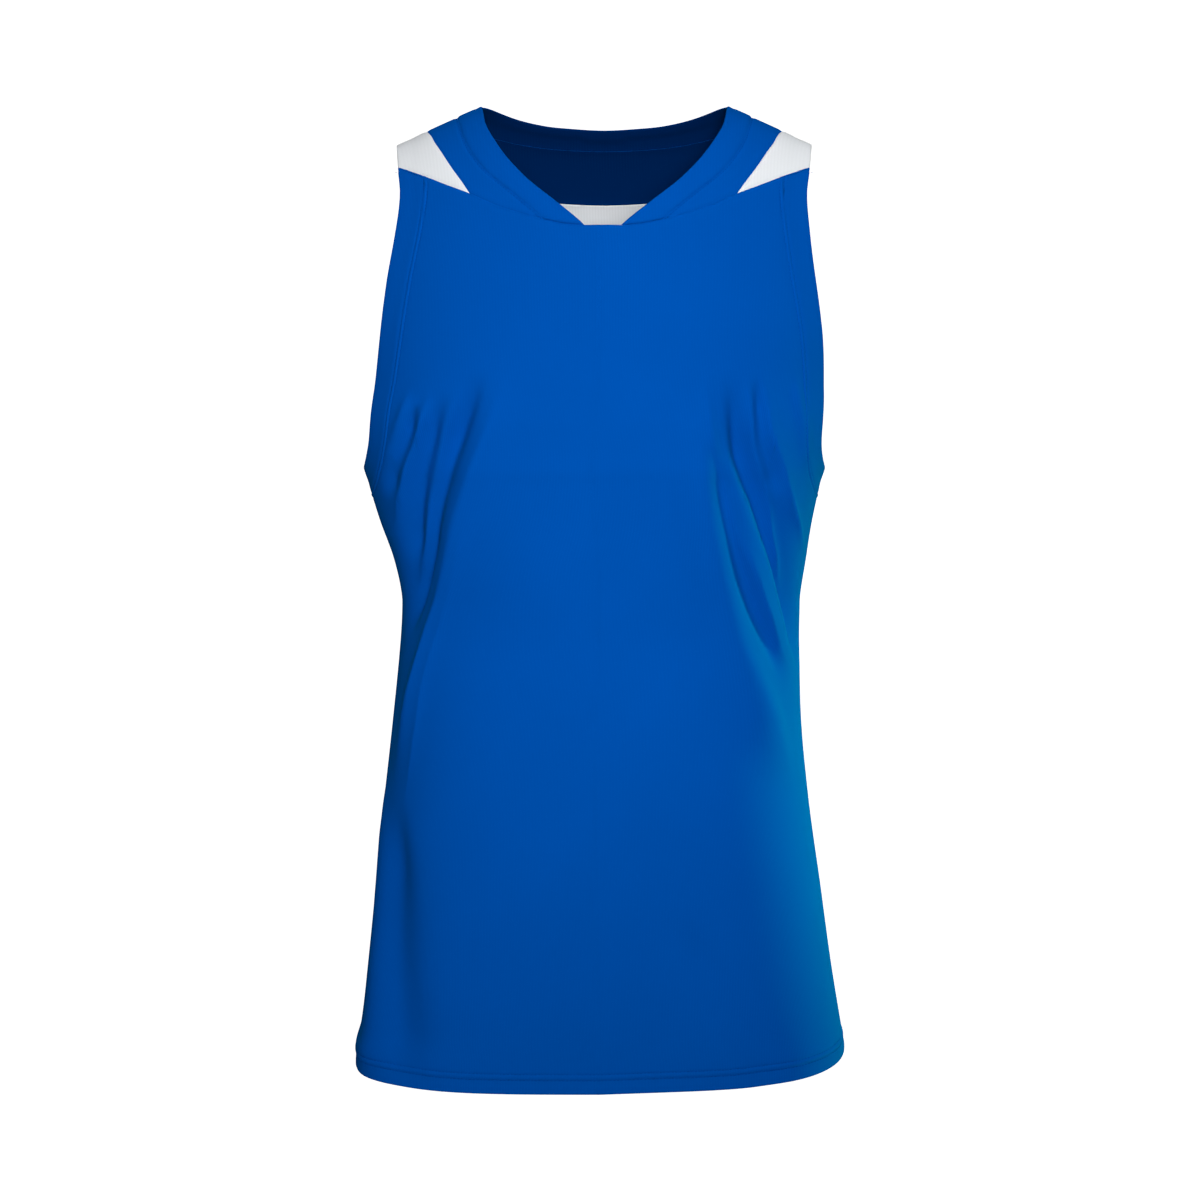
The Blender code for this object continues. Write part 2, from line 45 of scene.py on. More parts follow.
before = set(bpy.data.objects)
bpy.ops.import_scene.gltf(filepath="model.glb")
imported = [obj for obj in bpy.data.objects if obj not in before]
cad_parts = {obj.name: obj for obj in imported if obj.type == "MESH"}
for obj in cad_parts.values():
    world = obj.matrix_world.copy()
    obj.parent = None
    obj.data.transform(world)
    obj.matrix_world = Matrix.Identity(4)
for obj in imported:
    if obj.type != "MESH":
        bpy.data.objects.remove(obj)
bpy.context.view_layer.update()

# ---------------------------------------------------------------- sizes

# Shoulder ridge and the arch that runs from it down the chest and the back
RIDGE_PEAK = 0.0675
RIDGE_SLOPE = 0.50
RIDGE_ROUNDING = 0.060
RIDGE_SET_BACK = 0.008
ARCH_DROP = 0.260
ARCH_BULGE = (1.25, -0.25)  # for the lead and for its fifth power

# Places on the ridge, measured out from the centre line
NECK_HALF_WIDTH = 0.0940
BAND_SEAM_ON_RIDGE = 0.1127
INSERT_SEAM_ON_RIDGE = 0.1366
SHOULDER_TIP = 0.1594

# Heights
V_CORNER = -0.0843
UNDERARM = -0.266
HEM_FRONT = -0.7292
HEM_BACK = -0.7250
HEM_SIDE_RIGHT = -0.7232
HEM_SIDE_LEFT = -0.7110
HEM_TILT = 0.0040
HEM_CORNER = 10  # how late the hem turns up towards the side seams
HEIGHT_ROUNDS = 7  # of working out the height of a place
HEM_DEPTH = 0.0165
ARMHOLE_HEM = 0.0250

# Level sections: height, centre, half width, front depth, back depth, squareness
RINGS = (
    (0.060, 0.0003, 0.192, 0.116, 0.110, 2.3),
    (-0.070, -0.0015, 0.192, 0.116, 0.112, 2.3),
    (-0.120, -0.0029, 0.192, 0.117, 0.114, 2.3),
    (-0.165, -0.0029, 0.190, 0.118, 0.115, 2.3),
    (-0.200, -0.0043, 0.187, 0.118, 0.114, 2.3),
    (-0.230, -0.0066, 0.185, 0.118, 0.112, 2.35),
    (-0.255, -0.0082, 0.1795, 0.117, 0.110, 2.4),
    (-0.266, -0.0082, 0.1768, 0.117, 0.109, 2.4),
    (-0.275, -0.0082, 0.1740, 0.116, 0.108, 2.4),
    (-0.305, -0.0069, 0.166, 0.114, 0.104, 2.4),
    (-0.335, -0.0039, 0.1583, 0.112, 0.100, 2.4),
    (-0.366, -0.0031, 0.1530, 0.110, 0.097, 2.4),
    (-0.397, -0.0039, 0.1536, 0.108, 0.095, 2.45),
    (-0.459, -0.0062, 0.1575, 0.1105, 0.096, 2.5),
    (-0.521, -0.0067, 0.1640, 0.1125, 0.101, 2.6),
    (-0.583, -0.0054, 0.1714, 0.1130, 0.107, 2.75),
    (-0.644, -0.0043, 0.1787, 0.1125, 0.112, 2.9),
    (-0.691, -0.0032, 0.1853, 0.1115, 0.116, 3.0),
    (-0.708, -0.0039, 0.1890, 0.1110, 0.117, 3.1),
    (-0.740, -0.0039, 0.1890, 0.1100, 0.117, 3.1),
)

# Outlines as distance from the centre line and height; None is the height of the ridge there. Low on the
# armholes they are the words "angle", degrees round from the centre front or back, and height.
NECK_EDGE_FRONT = (
    (NECK_HALF_WIDTH, None), (0.0910, -0.0010), (0.0855, -0.0130), (0.0740, -0.0300),
    (0.0600, -0.0455), (0.0480, -0.0560), (0.0315, -0.0690), (0.0135, V_CORNER),
)
BAND_SEAM_FRONT = (
    (BAND_SEAM_ON_RIDGE, None), (0.1080, -0.0100), (0.1010, -0.0250), (0.0900, -0.0400),
    (0.0770, -0.0515), (0.0640, -0.0620), (0.0540, -0.0705), (0.0440, -0.0795),
)
INSERT_SEAM = (
    (INSERT_SEAM_ON_RIDGE, None), (0.1300, -0.0155), (0.1230, -0.0260), (0.1140, -0.0395), (0.1002, -0.0590),
)
TOP_SEAM_FRONT = (
    (0.1567, -0.0365), (0.1390, -0.0430), (0.1200, -0.0510), (0.1002, -0.0590), (0.0810, -0.0680),
    (0.0620, -0.0745), (0.0440, -0.0795), (0.0280, -0.0830), (0.0135, V_CORNER), (0.0000, V_CORNER),
)
UNDERARM_CURVE = (
    ("angle", 71.0, -0.2080), ("angle", 73.0, -0.2420), ("angle", 78.5, -0.2590), ("angle", 90.0, UNDERARM),
)
ARMHOLE_FRONT = (
    (SHOULDER_TIP, None), (0.1567, -0.0365), (0.1540, -0.0590), (0.1565, -0.0890),
    (0.1609, -0.1200), (0.1665, -0.1650),
) + UNDERARM_CURVE
NECK_EDGE_BACK = (
    (NECK_HALF_WIDTH, None), (0.0860, 0.0105), (0.0700, 0.0055), (0.0480, 0.0010),
    (0.0240, -0.0010), (0.0000, -0.0020),
)
BAND_SEAM_BACK = (
    (BAND_SEAM_ON_RIDGE, None), (0.1010, -0.0045), (0.0800, -0.0105), (0.0540, -0.0148),
    (0.0270, -0.0168), (0.0000, -0.0175),
)
STRIPE_TOP = (
    (INSERT_SEAM_ON_RIDGE, None), (0.1220, -0.0290), (0.0950, -0.0455), (0.0600, -0.0545),
    (0.0300, -0.0575), (0.0000, -0.0585),
)
TOP_SEAM_BACK = (
    (0.1565, -0.0415), (0.1350, -0.0575), (0.1050, -0.0715), (0.0700, -0.0805),
    (0.0350, -0.0855), (0.0000, -0.0870),
)
ARMHOLE_BACK = (
    (SHOULDER_TIP, None), (0.1565, -0.0415), (0.1540, -0.0620), (0.1560, -0.0900),
    (0.1600, -0.1200), (0.1650, -0.1650),
) + UNDERARM_CURVE

# Creases: the places each runs through (degrees round from the centre front, height), its half width on
# the side towards the armhole and on the other side, how far it lifts the cloth (below 0 a trough), and
# the radius of its crest (0 is a soft wave). +90 degrees is the left side seam, 180 the centre back.
CREASES = (
    # wearer's right, front: from the armhole down to the side
    (((-58.5, -0.205), (-62.0, -0.240), (-67.0, -0.268)), 0.0050, 0.0055, 0.0022, 0.0),
    (((-56.0, -0.215), (-59.0, -0.240), (-63.8, -0.263), (-69.0, -0.288)),
      0.0064, 0.0060, -0.0052, 0.0),
    (((-52.5, -0.205), (-55.8, -0.240), (-59.8, -0.263), (-64.0, -0.286), (-70.0, -0.310)),
      0.0055, 0.0060, 0.0042, 0.0006),
    (((-48.5, -0.205), (-52.5, -0.240), (-55.7, -0.263), (-59.2, -0.286), (-64.0, -0.315),
      (-70.0, -0.340)), 0.0110, 0.0064, -0.0072, 0.0),
    (((-44.5, -0.200), (-46.5, -0.217), (-48.8, -0.240), (-51.2, -0.263), (-55.0, -0.286),
      (-59.5, -0.315), (-65.5, -0.340), (-72.0, -0.365)), 0.0060, 0.0085, 0.0046, 0.0008),
    (((-38.5, -0.190), (-41.2, -0.217), (-44.2, -0.240), (-47.6, -0.263), (-51.6, -0.286),
      (-56.4, -0.315), (-61.5, -0.340), (-66.5, -0.363), (-72.5, -0.395)),
      0.0190, 0.0072, -0.0125, 0.0),
    (((-31.0, -0.186), (-36.5, -0.240), (-41.5, -0.274), (-47.5, -0.309), (-55.0, -0.354),
      (-61.0, -0.390), (-66.5, -0.440), (-72.0, -0.510)), 0.0120, 0.0220, 0.0080, 0.0010),
    (((-37.3, -0.263), (-57.8, -0.396), (-62.3, -0.460), (-65.5, -0.530)),
      0.0060, 0.0060, 0.0014, 0.0006),
    (((-68.0, -0.510), (-65.0, -0.600), (-60.5, -0.690), (-58.5, -0.748)),
      0.0190, 0.0170, -0.0080, 0.0),
    (((-80.0, -0.480), (-74.0, -0.600), (-71.0, -0.748)), 0.0120, 0.0120, 0.0030, 0.0),
    # wearer's left, front
    (((60.0, -0.195), (63.4, -0.226), (69.0, -0.268)), 0.0050, 0.0055, 0.0022, 0.0),
    (((50.5, -0.190), (52.7, -0.217), (55.0, -0.240), (59.5, -0.263), (64.0, -0.286),
      (70.0, -0.310), (77.0, -0.335)), 0.0060, 0.0060, 0.0042, 0.0006),
    (((49.5, -0.195), (53.0, -0.240), (57.0, -0.263), (61.0, -0.285)),
      0.0060, 0.0060, -0.0044, 0.0),
    (((46.5, -0.190), (48.4, -0.217), (50.0, -0.240), (53.2, -0.263), (57.5, -0.286),
      (61.5, -0.315), (66.0, -0.340), (72.0, -0.365)), 0.0060, 0.0070, 0.0040, 0.0004),
    (((41.5, -0.193), (45.3, -0.240), (48.3, -0.263), (53.2, -0.286), (58.6, -0.315),
      (63.5, -0.340), (68.5, -0.363), (74.0, -0.392), (80.0, -0.425)),
      0.0165, 0.0068, -0.0120, 0.0),
    (((34.0, -0.186), (37.2, -0.233), (41.5, -0.263), (44.2, -0.286), (47.7, -0.315),
      (52.5, -0.340), (57.2, -0.363), (64.0, -0.394), (71.0, -0.420)),
      0.0130, 0.0105, 0.0062, 0.0005),
    (((37.0, -0.225), (40.5, -0.257), (43.0, -0.286), (46.0, -0.315), (49.0, -0.340),
      (53.0, -0.363), (60.0, -0.394), (68.0, -0.430)), 0.0090, 0.0080, -0.0062, 0.0),
    (((30.0, -0.200), (34.0, -0.250), (36.5, -0.286), (38.5, -0.315), (40.5, -0.340),
      (43.7, -0.363), (48.4, -0.394), (54.5, -0.425), (61.0, -0.460), (68.0, -0.510)),
      0.0140, 0.0230, 0.0080, 0.0),
    (((27.0, -0.590), (37.0, -0.640), (49.0, -0.700), (54.0, -0.748)),
      0.0140, 0.0100, -0.0026, 0.0),
    # back, wearer's left
    (((147.0, -0.185), (136.0, -0.270), (121.5, -0.340), (103.5, -0.405)),
      0.0085, 0.0180, -0.0074, 0.0),
    (((152.0, -0.200), (141.0, -0.290), (127.0, -0.365), (109.0, -0.440)),
      0.0130, 0.0220, 0.0052, 0.0020),
    (((134.0, -0.205), (128.0, -0.250), (119.0, -0.300), (105.0, -0.350)),
      0.0080, 0.0110, 0.0058, 0.0014),
    (((125.0, -0.210), (121.0, -0.245), (111.0, -0.285)), 0.0060, 0.0070, 0.0032, 0.0),
    (((123.0, -0.520), (127.0, -0.640), (131.0, -0.748)), 0.0180, 0.0180, -0.0060, 0.0),
    # back, wearer's right
    (((-143.5, -0.190), (-133.0, -0.262), (-118.5, -0.330), (-102.5, -0.385)),
      0.0085, 0.0180, -0.0072, 0.0),
    (((-150.0, -0.205), (-139.0, -0.300), (-125.0, -0.368), (-108.0, -0.430)),
      0.0130, 0.0210, 0.0050, 0.0018),
    (((-131.0, -0.200), (-126.0, -0.248), (-117.0, -0.295), (-105.0, -0.338)),
      0.0080, 0.0105, 0.0054, 0.0012),
    (((-122.0, -0.215), (-118.0, -0.250), (-109.0, -0.280)), 0.0055, 0.0065, 0.0028, 0.0),
    (((-151.0, -0.540), (-145.0, -0.650), (-141.0, -0.748)), 0.0200, 0.0200, -0.0056, 0.0),
    (((172.0, -0.430), (178.0, -0.560), (174.0, -0.700)), 0.0300, 0.0300, -0.0036, 0.0),
)

# The height of the section along which lengths round the body are measured
LENGTH_HEIGHT = -0.45

# How fast a crease comes in and dies away, and where it has its full width, as shares of its length
CREASE_FADE_IN = 0.26
CREASE_FADE_OUT = 0.24
CREASE_FULL_WIDTH = 0.45
CREASE_START_WIDTH = 0.60  # of the full width
CREASE_CREST_FALL = 0.70  # of the width, in which a crest falls away by a factor e
CREASE_REACH = 3.2  # half widths, beyond which a crease isn't worked out

# Seams, hems and rows of stitches
SEAM_DIP = 0.0006
SEAM_DIP_WIDTH = 0.0014
ARM_ROWS = (0.0206, 0.0240)
HEM_ROWS = (0.0107, 0.0152)
TOP_ROWS = (0.0014, 0.0046)
BAND_ROW = 0.0014
BAND_FOLD = 0.0088
BAND_RISE = 0.0004
STITCH_DIP = 0.00050
STITCH_DIP_WIDTH = 0.0006
STITCH_TUNNEL = 0.00045
TUNNEL_WIDTH = 0.30  # of the distance between twin rows
HEM_HOLLOW = 0.0003
HOLLOW_PLACE = 0.48  # of the hem's depth
HOLLOW_WIDTH = 0.17  # of the hem's depth
ROLLED_LEAST = 0.04
STITCH_SIDES = 5
STITCH_RINGS = 4
STITCH_AHEAD = 0.55  # the place, in stitches, towards which each one points from its middle at 0.5
STITCH_END = 0.09
STITCH_FALL = 0.9  # of the thread's radius, from the middle down to the ends
STITCH_LIFT = 0.25  # of the thread's radius
SEAM_CELLS = 60
BAND_SEAM_CELLS = 40

# Mesh: rows close together at edges, seams and stitches, as distances from the edge
EDGE_STEPS = (0.0, 0.0003, 0.0009, 0.0018)
TOP_STEPS = (0.0, 0.0007, 0.0014, 0.0021, 0.0032, 0.0042, 0.0050, 0.0058)
HEM_STEPS = (
    0.0190, 0.0168, 0.0160, 0.0153, 0.0146, 0.0138, 0.0122, 0.0114, 0.0107, 0.0100, 0.0088, 0.0062, 0.0036,
    0.0018, 0.0009, 0.0003, 0.0,
)
STRIP_STEPS = (
    0.0250, 0.0246, 0.0239, 0.0232, 0.0224, 0.0214, 0.0206, 0.0199, 0.0190, 0.0165, 0.0130, 0.0095, 0.0060,
    0.0035,
)
RING_STEP = 0.0005
WELD = 20000  # to the metre, so places closer than a twentieth of a millimetre are one
CELL = 0.0034
INSERT_CELL = 0.8 * CELL
YOKE_CELL = 0.9 * CELL
BAND_CELL = 0.0026
ARM_CELL = 0.0056
ARM_CROWDING = 1.35
STRIP_FADE = 4
STRIPE_FADE = 8
RIDGE_CELLS = 20
UNDERARM_PLACES = 40
SIDE_PLACES = 120
HEM_PLACES = 260
COLUMN_GAP = 0.0022
COLUMN_SHIFT = 0.010
FRONT_CROWDING = (1.2, 1.25)  # more columns, and their crowding towards the centre front
ROW_SPREAD = (0.62, 0.38)
BODY_LENGTH = 0.60
INSERT_WIDTH = 0.036
INSERT_LENGTH = 0.088
YOKE_WIDTH = 0.040
YOKE_LENGTH = 0.120
BACK_YOKE_LENGTH = 0.038
STRIPE_LENGTH = 0.36
BAND_WIDTH = 0.0187
BAND_CELLS = 44
BACK_CELLS = 100
SIDES = {1: "left", -1: "right"}

# The knit: its darker dye as a share of its colour, the tint of its sheen, and its loops
BLUE_SHADE = 0.95
WHITE_SHADE = 0.98
BLUE_SHEEN = (0.0, 0.62, 0.95)
WHITE_SHEEN = (0.95, 0.97, 1.0)
SHEEN_ROUGHNESS = 0.45
BLUE_ROUGHNESS = 0.52
INSIDE_ROUGHNESS = 0.62
WHITE_ROUGHNESS = 0.55
COURSES_PER_COLUMN = 1.25
COURSE_SHARE = 0.35
LOOP_STRENGTH = 0.30
LOOP_DEPTH = 0.00012
COLUMN_TONE = 0.10
DYE_SCALE = 9.0
DYE_DETAIL = 4.0
DYE_RANGE = (0.3, 0.7)
TWIST_SCALE = 700.0
TWIST_DEPTH = 0.00006
THREAD_ROUGHNESS = 0.45

# The studio: a pale round wall and floor. Only the part behind the garment lights it.
FLOOR = -1.75
WALL_TOP = 0.9
WALL_RADIUS = 3.4
WALL_STEPS = 96
BACKDROP_TURN = 22
BACKDROP_GLOW = 1.0
WALL_GLOW = 0.85
FLOOR_GLOW = 0.74
WORLD_LIGHT = 0.04
PALE = (0.90, 0.90, 0.91)
PALE_ROUGHNESS = 0.9
DAYLIGHT = (1.0, 1.0, 1.0)
SHEEN_LIGHT = (0.15, 1.0, 0.40)
LAMPS = (  # name, place, target, width and height, power, spread in degrees, colour
    ("key", (0.10, -2.70, -0.02), (0.0, 0.0, -0.23), (0.6, 0.6), 3.35, 42, DAYLIGHT),
    ("top", (0.30, -1.00, 2.00), (0.05, 0.0, 0.0), (0.9, 0.9), 2.80, 60, DAYLIGHT),
    ("behind", (0.0, 2.70, 0.30), (0.0, 0.0, -0.30), (0.6, 0.6), 3.00, 42, DAYLIGHT),
    ("low_left", (-0.95, -0.60, -1.62), (-0.20, 0.0, -0.72), (0.5, 0.5), 0.80, 80, DAYLIGHT),
    ("low_right", (0.95, -0.35, -1.62), (0.20, 0.0, -0.72), (0.5, 0.5), 0.40, 80, DAYLIGHT),
    ("edge", (1.75, 0.60, -1.10), (0.18, 0.0, -0.70), (0.4, 0.4), 0.60, 20, SHEEN_LIGHT),
    ("side", (1.88, 0.68, -0.35), (0.15, -0.05, -0.44), (0.2, 0.3), 0.80, 20, SHEEN_LIGHT),
)

# The camera: the photograph's frame is 1200 pixels square, 0.772 mm to a pixel at the body's centre plane
FRAME_PIXELS = 1200
PIXEL_SIZE = 0.000772
CAMERA_PLACE = (-0.0039, -2.400, -0.220)
CAMERA_TARGET = (-0.0039, 0.0, -0.367)
SENSOR = 36.0
FAR_AWAY = 60.0


# ---------------------------------------------------------------- what a user would change


class JerseySizes(bpy.types.PropertyGroup):
    """Thicknesses of the cloth and sizes of its stitches."""

    cloth_thickness: FloatProperty(
        name="Cloth", description="Thickness of one layer of the knit", default=0.0009, min=0.0003, max=0.003,
        unit="LENGTH",
    )
    hem_thickness: FloatProperty(
        name="Hems", description="Thickness of the knit where it is turned under", default=0.0018, min=0.0006,
        max=0.006, unit="LENGTH",
    )
    band_thickness: FloatProperty(
        name="Neckband", description="Thickness of the folded edge of the neckband", default=0.0022,
        min=0.0006, max=0.006, unit="LENGTH",
    )
    stitch_pitch: FloatProperty(
        name="Stitch pitch", description="Distance from one stitch to the next", default=0.0029, min=0.001,
        max=0.010, unit="LENGTH",
    )
    stitch_length: FloatProperty(
        name="Stitch length", description="Length of thread that shows in each stitch", default=0.0023,
        min=0.0008, max=0.008, unit="LENGTH",
    )
    thread_radius: FloatProperty(
        name="Thread", description="Radius of the sewing thread", default=0.00022, min=0.0001, max=0.001,
        unit="LENGTH",
    )


class JerseyColours(bpy.types.PropertyGroup):
    """Colours of the knit and the thread, and how the knit takes the light."""

    blue: FloatVectorProperty(
        name="Blue", description="Outer face of the blue knit", subtype="COLOR", default=(0.0, 0.088, 0.470),
        min=0.0, max=1.0,
    )
    # Painted shade: about a quarter of the blue's brightness. It goes on the inner faces of the blue pieces
    # and stands in for the shade inside the garment; it is not a darker wrong side of the knit
    blue_inside_painted_shade: FloatVectorProperty(
        name="Blue inside", description="Wrong side of the blue knit", subtype="COLOR",
        default=(0.0, 0.0195, 0.112), min=0.0, max=1.0,
    )
    white: FloatVectorProperty(
        name="White", description="White knit of the shoulders and the back stripe", subtype="COLOR",
        default=(0.90, 0.93, 0.965), min=0.0, max=1.0,
    )
    thread: FloatVectorProperty(
        name="Thread", description="Sewing thread", subtype="COLOR", default=(0.0, 0.060, 0.340),
        min=0.0, max=1.0,
    )
    sheen: FloatProperty(
        name="Sheen", description="Soft glow of the fibres at the edges of the form", subtype="FACTOR",
        default=0.05, min=0.0, max=1.0,
    )
    knit_scale: FloatProperty(
        name="Knit fineness", description="How closely the columns of loops follow each other", default=300.0,
        min=50.0, max=900.0,
    )


def sizes():
    return bpy.context.scene.jersey_sizes


def colours():
    return bpy.context.scene.jersey_colours


def shown(name, data):
    """A new object in the scene."""
    obj = bpy.data.objects.new(name, data)
    bpy.context.scene.collection.objects.link(obj)
    return obj


# ---------------------------------------------------------------- form


def eased(value):
    """0 to 1 with a soft start and end."""
    value = np.clip(value, 0.0, 1.0)
    return value * value * (3 - 2 * value)


def fine_rings():
    """The ring table at fine steps, from the lowest up, joined smoothly without overshoot."""
    rows = np.array(RINGS)
    heights = rows[:, 0]
    steps = (rows[1:] - rows[:-1]) / (heights[1:] - heights[:-1])[:, None]
    slopes = np.empty_like(rows)
    for i in range(len(rows)):
        first, last = max(i - 1, 0), min(i + 1, len(rows) - 1)
        slopes[i] = (rows[last] - rows[first]) / (heights[last] - heights[first])
    fine = np.arange(heights[-1], heights[0], RING_STEP)
    out = np.empty((len(fine), rows.shape[1]))
    for n, z in enumerate(fine):
        i = int(np.clip(np.searchsorted(-heights, -z) - 1, 0, len(rows) - 2))
        step = heights[i] - heights[i + 1]
        t = (heights[i] - z) / step
        for c in range(rows.shape[1]):
            into = -slopes[i][c] if slopes[i][c] * steps[i][c] > 0 else 0.0
            away = -slopes[i + 1][c] if slopes[i + 1][c] * steps[i][c] > 0 else 0.0
            out[n, c] = (
                (2 * t**3 - 3 * t**2 + 1) * rows[i, c] + (t**3 - 2 * t**2 + t) * step * into
                + (3 * t**2 - 2 * t**3) * rows[i + 1, c] + (t**3 - t**2) * step * away
            )
    return fine, out


FINE_HEIGHTS, FINE_RINGS = fine_rings()


def reach(angle, height):
    """The section's centre, half width, depth, power and radius, in a direction at a height."""
    centre, half, front, back, power = (
        np.interp(height, FINE_HEIGHTS, FINE_RINGS[:, c]) for c in range(1, 6)
    )
    depth = np.where(np.cos(angle) >= 0, front, back)
    radius = (np.abs(np.sin(angle) / half) ** power + np.abs(np.cos(angle) / depth) ** power) ** (-1 / power)
    return centre, half, depth, power, radius


def ridge_height(across):
    return RIDGE_PEAK - RIDGE_SLOPE * np.hypot(across, RIDGE_ROUNDING)


def ridge_above(angle, height):
    """The height of the ridge above the body's outside, in a direction at a height."""
    centre, _, _, _, radius = reach(angle, height)
    return ridge_height(centre + radius * np.sin(angle))


def height_of(angle, lead):
    """The height of a place. Its lead grows from 0 on the ridge with the root of the drop below it."""
    height = np.zeros_like(angle)
    for _ in range(HEIGHT_ROUNDS):
        height = ridge_above(angle, height) - ARCH_DROP * lead * lead
    return height


def lead_of(angle, height):
    return np.sqrt(np.maximum(ridge_above(angle, height) - height, 0.0) / ARCH_DROP)


def places_at(angle, height):
    """Places as angles and leads, from angles and heights."""
    return np.stack([angle, lead_of(angle, height)], -1)


def fine_lengths():
    """Lengths round the body at each whole degree."""
    angles = np.radians(np.arange(0, 361))
    radius = reach(angles, np.full(361, LENGTH_HEIGHT))[4]
    places = np.stack([radius * np.sin(angles), radius * np.cos(angles)], 1)
    return np.concatenate([[0.0], np.cumsum(np.linalg.norm(np.diff(places, axis=0), axis=1))])


LENGTHS = fine_lengths()


def length_round(angle):
    return np.interp(np.degrees(angle) % 360, np.arange(0, 361), LENGTHS)


def wrapped(length):
    """A length round the body, as the shorter way round."""
    return (length + LENGTHS[-1] / 2) % LENGTHS[-1] - LENGTHS[-1] / 2


def through(points, steps=12):
    """A smooth line through points, as rows of numbers."""
    points = np.asarray(points, float)
    padded = np.concatenate([[2 * points[0] - points[1]], points, [2 * points[-1] - points[-2]]])
    t = np.linspace(0, 1, steps, endpoint=False)[:, None]
    runs = []
    for a, b, c, d in zip(padded, padded[1:], padded[2:], padded[3:]):
        square, cube = 2 * a - 5 * b + 4 * c - d, 3 * b - a - 3 * c + d
        runs.append(0.5 * (2 * b + (c - a) * t + square * t**2 + cube * t**3))
    return np.concatenate(runs + [points[-1:]])


def crease_lines():
    """Each crease as its start round the body, a fine line of lengths and heights, and its sizes."""
    lines = []
    for places, towards, away, lift, crest in CREASES:
        rows = through(places)
        round_body = length_round(np.radians(rows[:, 0]))
        line = np.stack([wrapped(round_body - round_body[0]), rows[:, 1]], -1)
        lines.append((round_body[0], line, towards, away, lift, crest))
    return lines


CREASE_LINES = crease_lines()


def crease_lift(angle, height):
    """How far all the creases together move the cloth outwards."""
    here = length_round(angle)
    total = np.zeros(here.shape)
    for start, line, towards, away, lift, crest in CREASE_LINES:
        across = wrapped(here - start)
        margin = CREASE_REACH * max(towards, away)
        close = ((across > line[:, 0].min() - margin) & (across < line[:, 0].max() + margin)
                 & (height > line[:, 1].min() - margin) & (height < line[:, 1].max() + margin))
        if not close.any():
            continue
        spot = np.stack([across[close], height[close]], -1)
        runs = line[1:] - line[:-1]
        sizes = np.linalg.norm(runs, axis=1)
        offset = spot[:, None] - line[None, :-1]
        share = np.clip((offset * runs).sum(-1) / sizes**2, 0, 1)
        offset -= share[..., None] * runs
        gaps = (offset**2).sum(-1)
        nearest = gaps.argmin(1)
        pick = np.arange(len(spot))
        gap, run, offset = np.sqrt(gaps[pick, nearest]), runs[nearest], offset[pick, nearest]
        side = (run[:, 0] * offset[:, 1] - run[:, 1] * offset[:, 0]) * np.sign(line[-1, 0])
        width = np.where(side > 0, towards, away)
        starts = np.concatenate([[0.0], np.cumsum(sizes)])
        along = (starts[nearest] + share[pick, nearest] * sizes[nearest]) / sizes.sum()
        fade = eased(along / CREASE_FADE_IN) * eased((1 - along) / CREASE_FADE_OUT)
        width *= CREASE_START_WIDTH + (1 - CREASE_START_WIDTH) * eased(along / CREASE_FULL_WIDTH)
        if crest:
            profile = np.exp(-(np.sqrt(gap**2 + crest**2) - crest) / (width * CREASE_CREST_FALL))
        else:
            profile = np.exp(-((gap / width) ** 2))
        total[close] += lift * fade * profile
    return total


def cloth(angle, lead):
    """Points of the cloth's outer face."""
    angle, lead = np.asarray(angle, float), np.asarray(lead, float)
    height = height_of(angle, lead)
    centre, half, depth, power, radius = reach(angle, height)
    t = np.minimum(lead, 1.0)
    share = ARCH_BULGE[0] * t + ARCH_BULGE[1] * t**5
    x, y = radius * np.sin(angle), -radius * np.cos(angle)
    out_x = np.sign(x) * np.abs(x / half) ** (power - 1) / half
    out_y = np.sign(y) * np.abs(y / depth) ** (power - 1) / depth
    size = np.hypot(out_x, out_y)
    lift = crease_lift(angle, height)
    return np.stack([
        centre + x + out_x / size * lift,
        y * share + RIDGE_SET_BACK * (1 - t) ** 2 + out_y / size * lift,
        height,
    ], -1)


def slopes_at(angle, lead, step=0.002):
    """How a place moves as its angle grows and as its lead grows."""
    round_body = (cloth(angle + step, lead) - cloth(angle - step, lead)) / (2 * step)
    low = np.maximum(lead - step, 0.0)
    down_body = (cloth(angle, lead + step) - cloth(angle, low)) / (lead + step - low)[..., None]
    return round_body, down_body


def unit(vectors):
    return vectors / np.maximum(np.linalg.norm(vectors, axis=-1, keepdims=True), 1e-12)


def facing(angle, lead):
    """The outward normals of the cloth."""
    round_body, down_body = slopes_at(angle, lead)
    return unit(np.cross(down_body, round_body))


def walked(line, aside, distance, stride=0.002):
    """A line of places moved over the cloth by a distance; aside is +1 or -1, its side seen from outside."""
    angle, lead = line[:, 0].copy(), line[:, 1].copy()
    along = unit(np.gradient(cloth(angle, lead), axis=0))
    across = np.cross(facing(angle, lead), along) * aside
    strides = max(int(round(distance / stride)), 1)
    step = distance / strides
    for _ in range(strides):
        normal = facing(angle, lead)
        across = unit(across - normal * np.sum(across * normal, -1, keepdims=True))
        u, v = slopes_at(angle, lead)
        uu, uv, vv = (np.sum(p * q, -1) for p, q in ((u, u), (u, v), (v, v)))
        du, dv = np.sum(u * across, -1) * step, np.sum(v * across, -1) * step
        det = uu * vv - uv * uv
        angle += (du * vv - dv * uv) / det
        lead = np.maximum(lead + (dv * uu - du * uv) / det, 0.0)
    return np.stack([angle, lead], -1)


# ---------------------------------------------------------------- lines


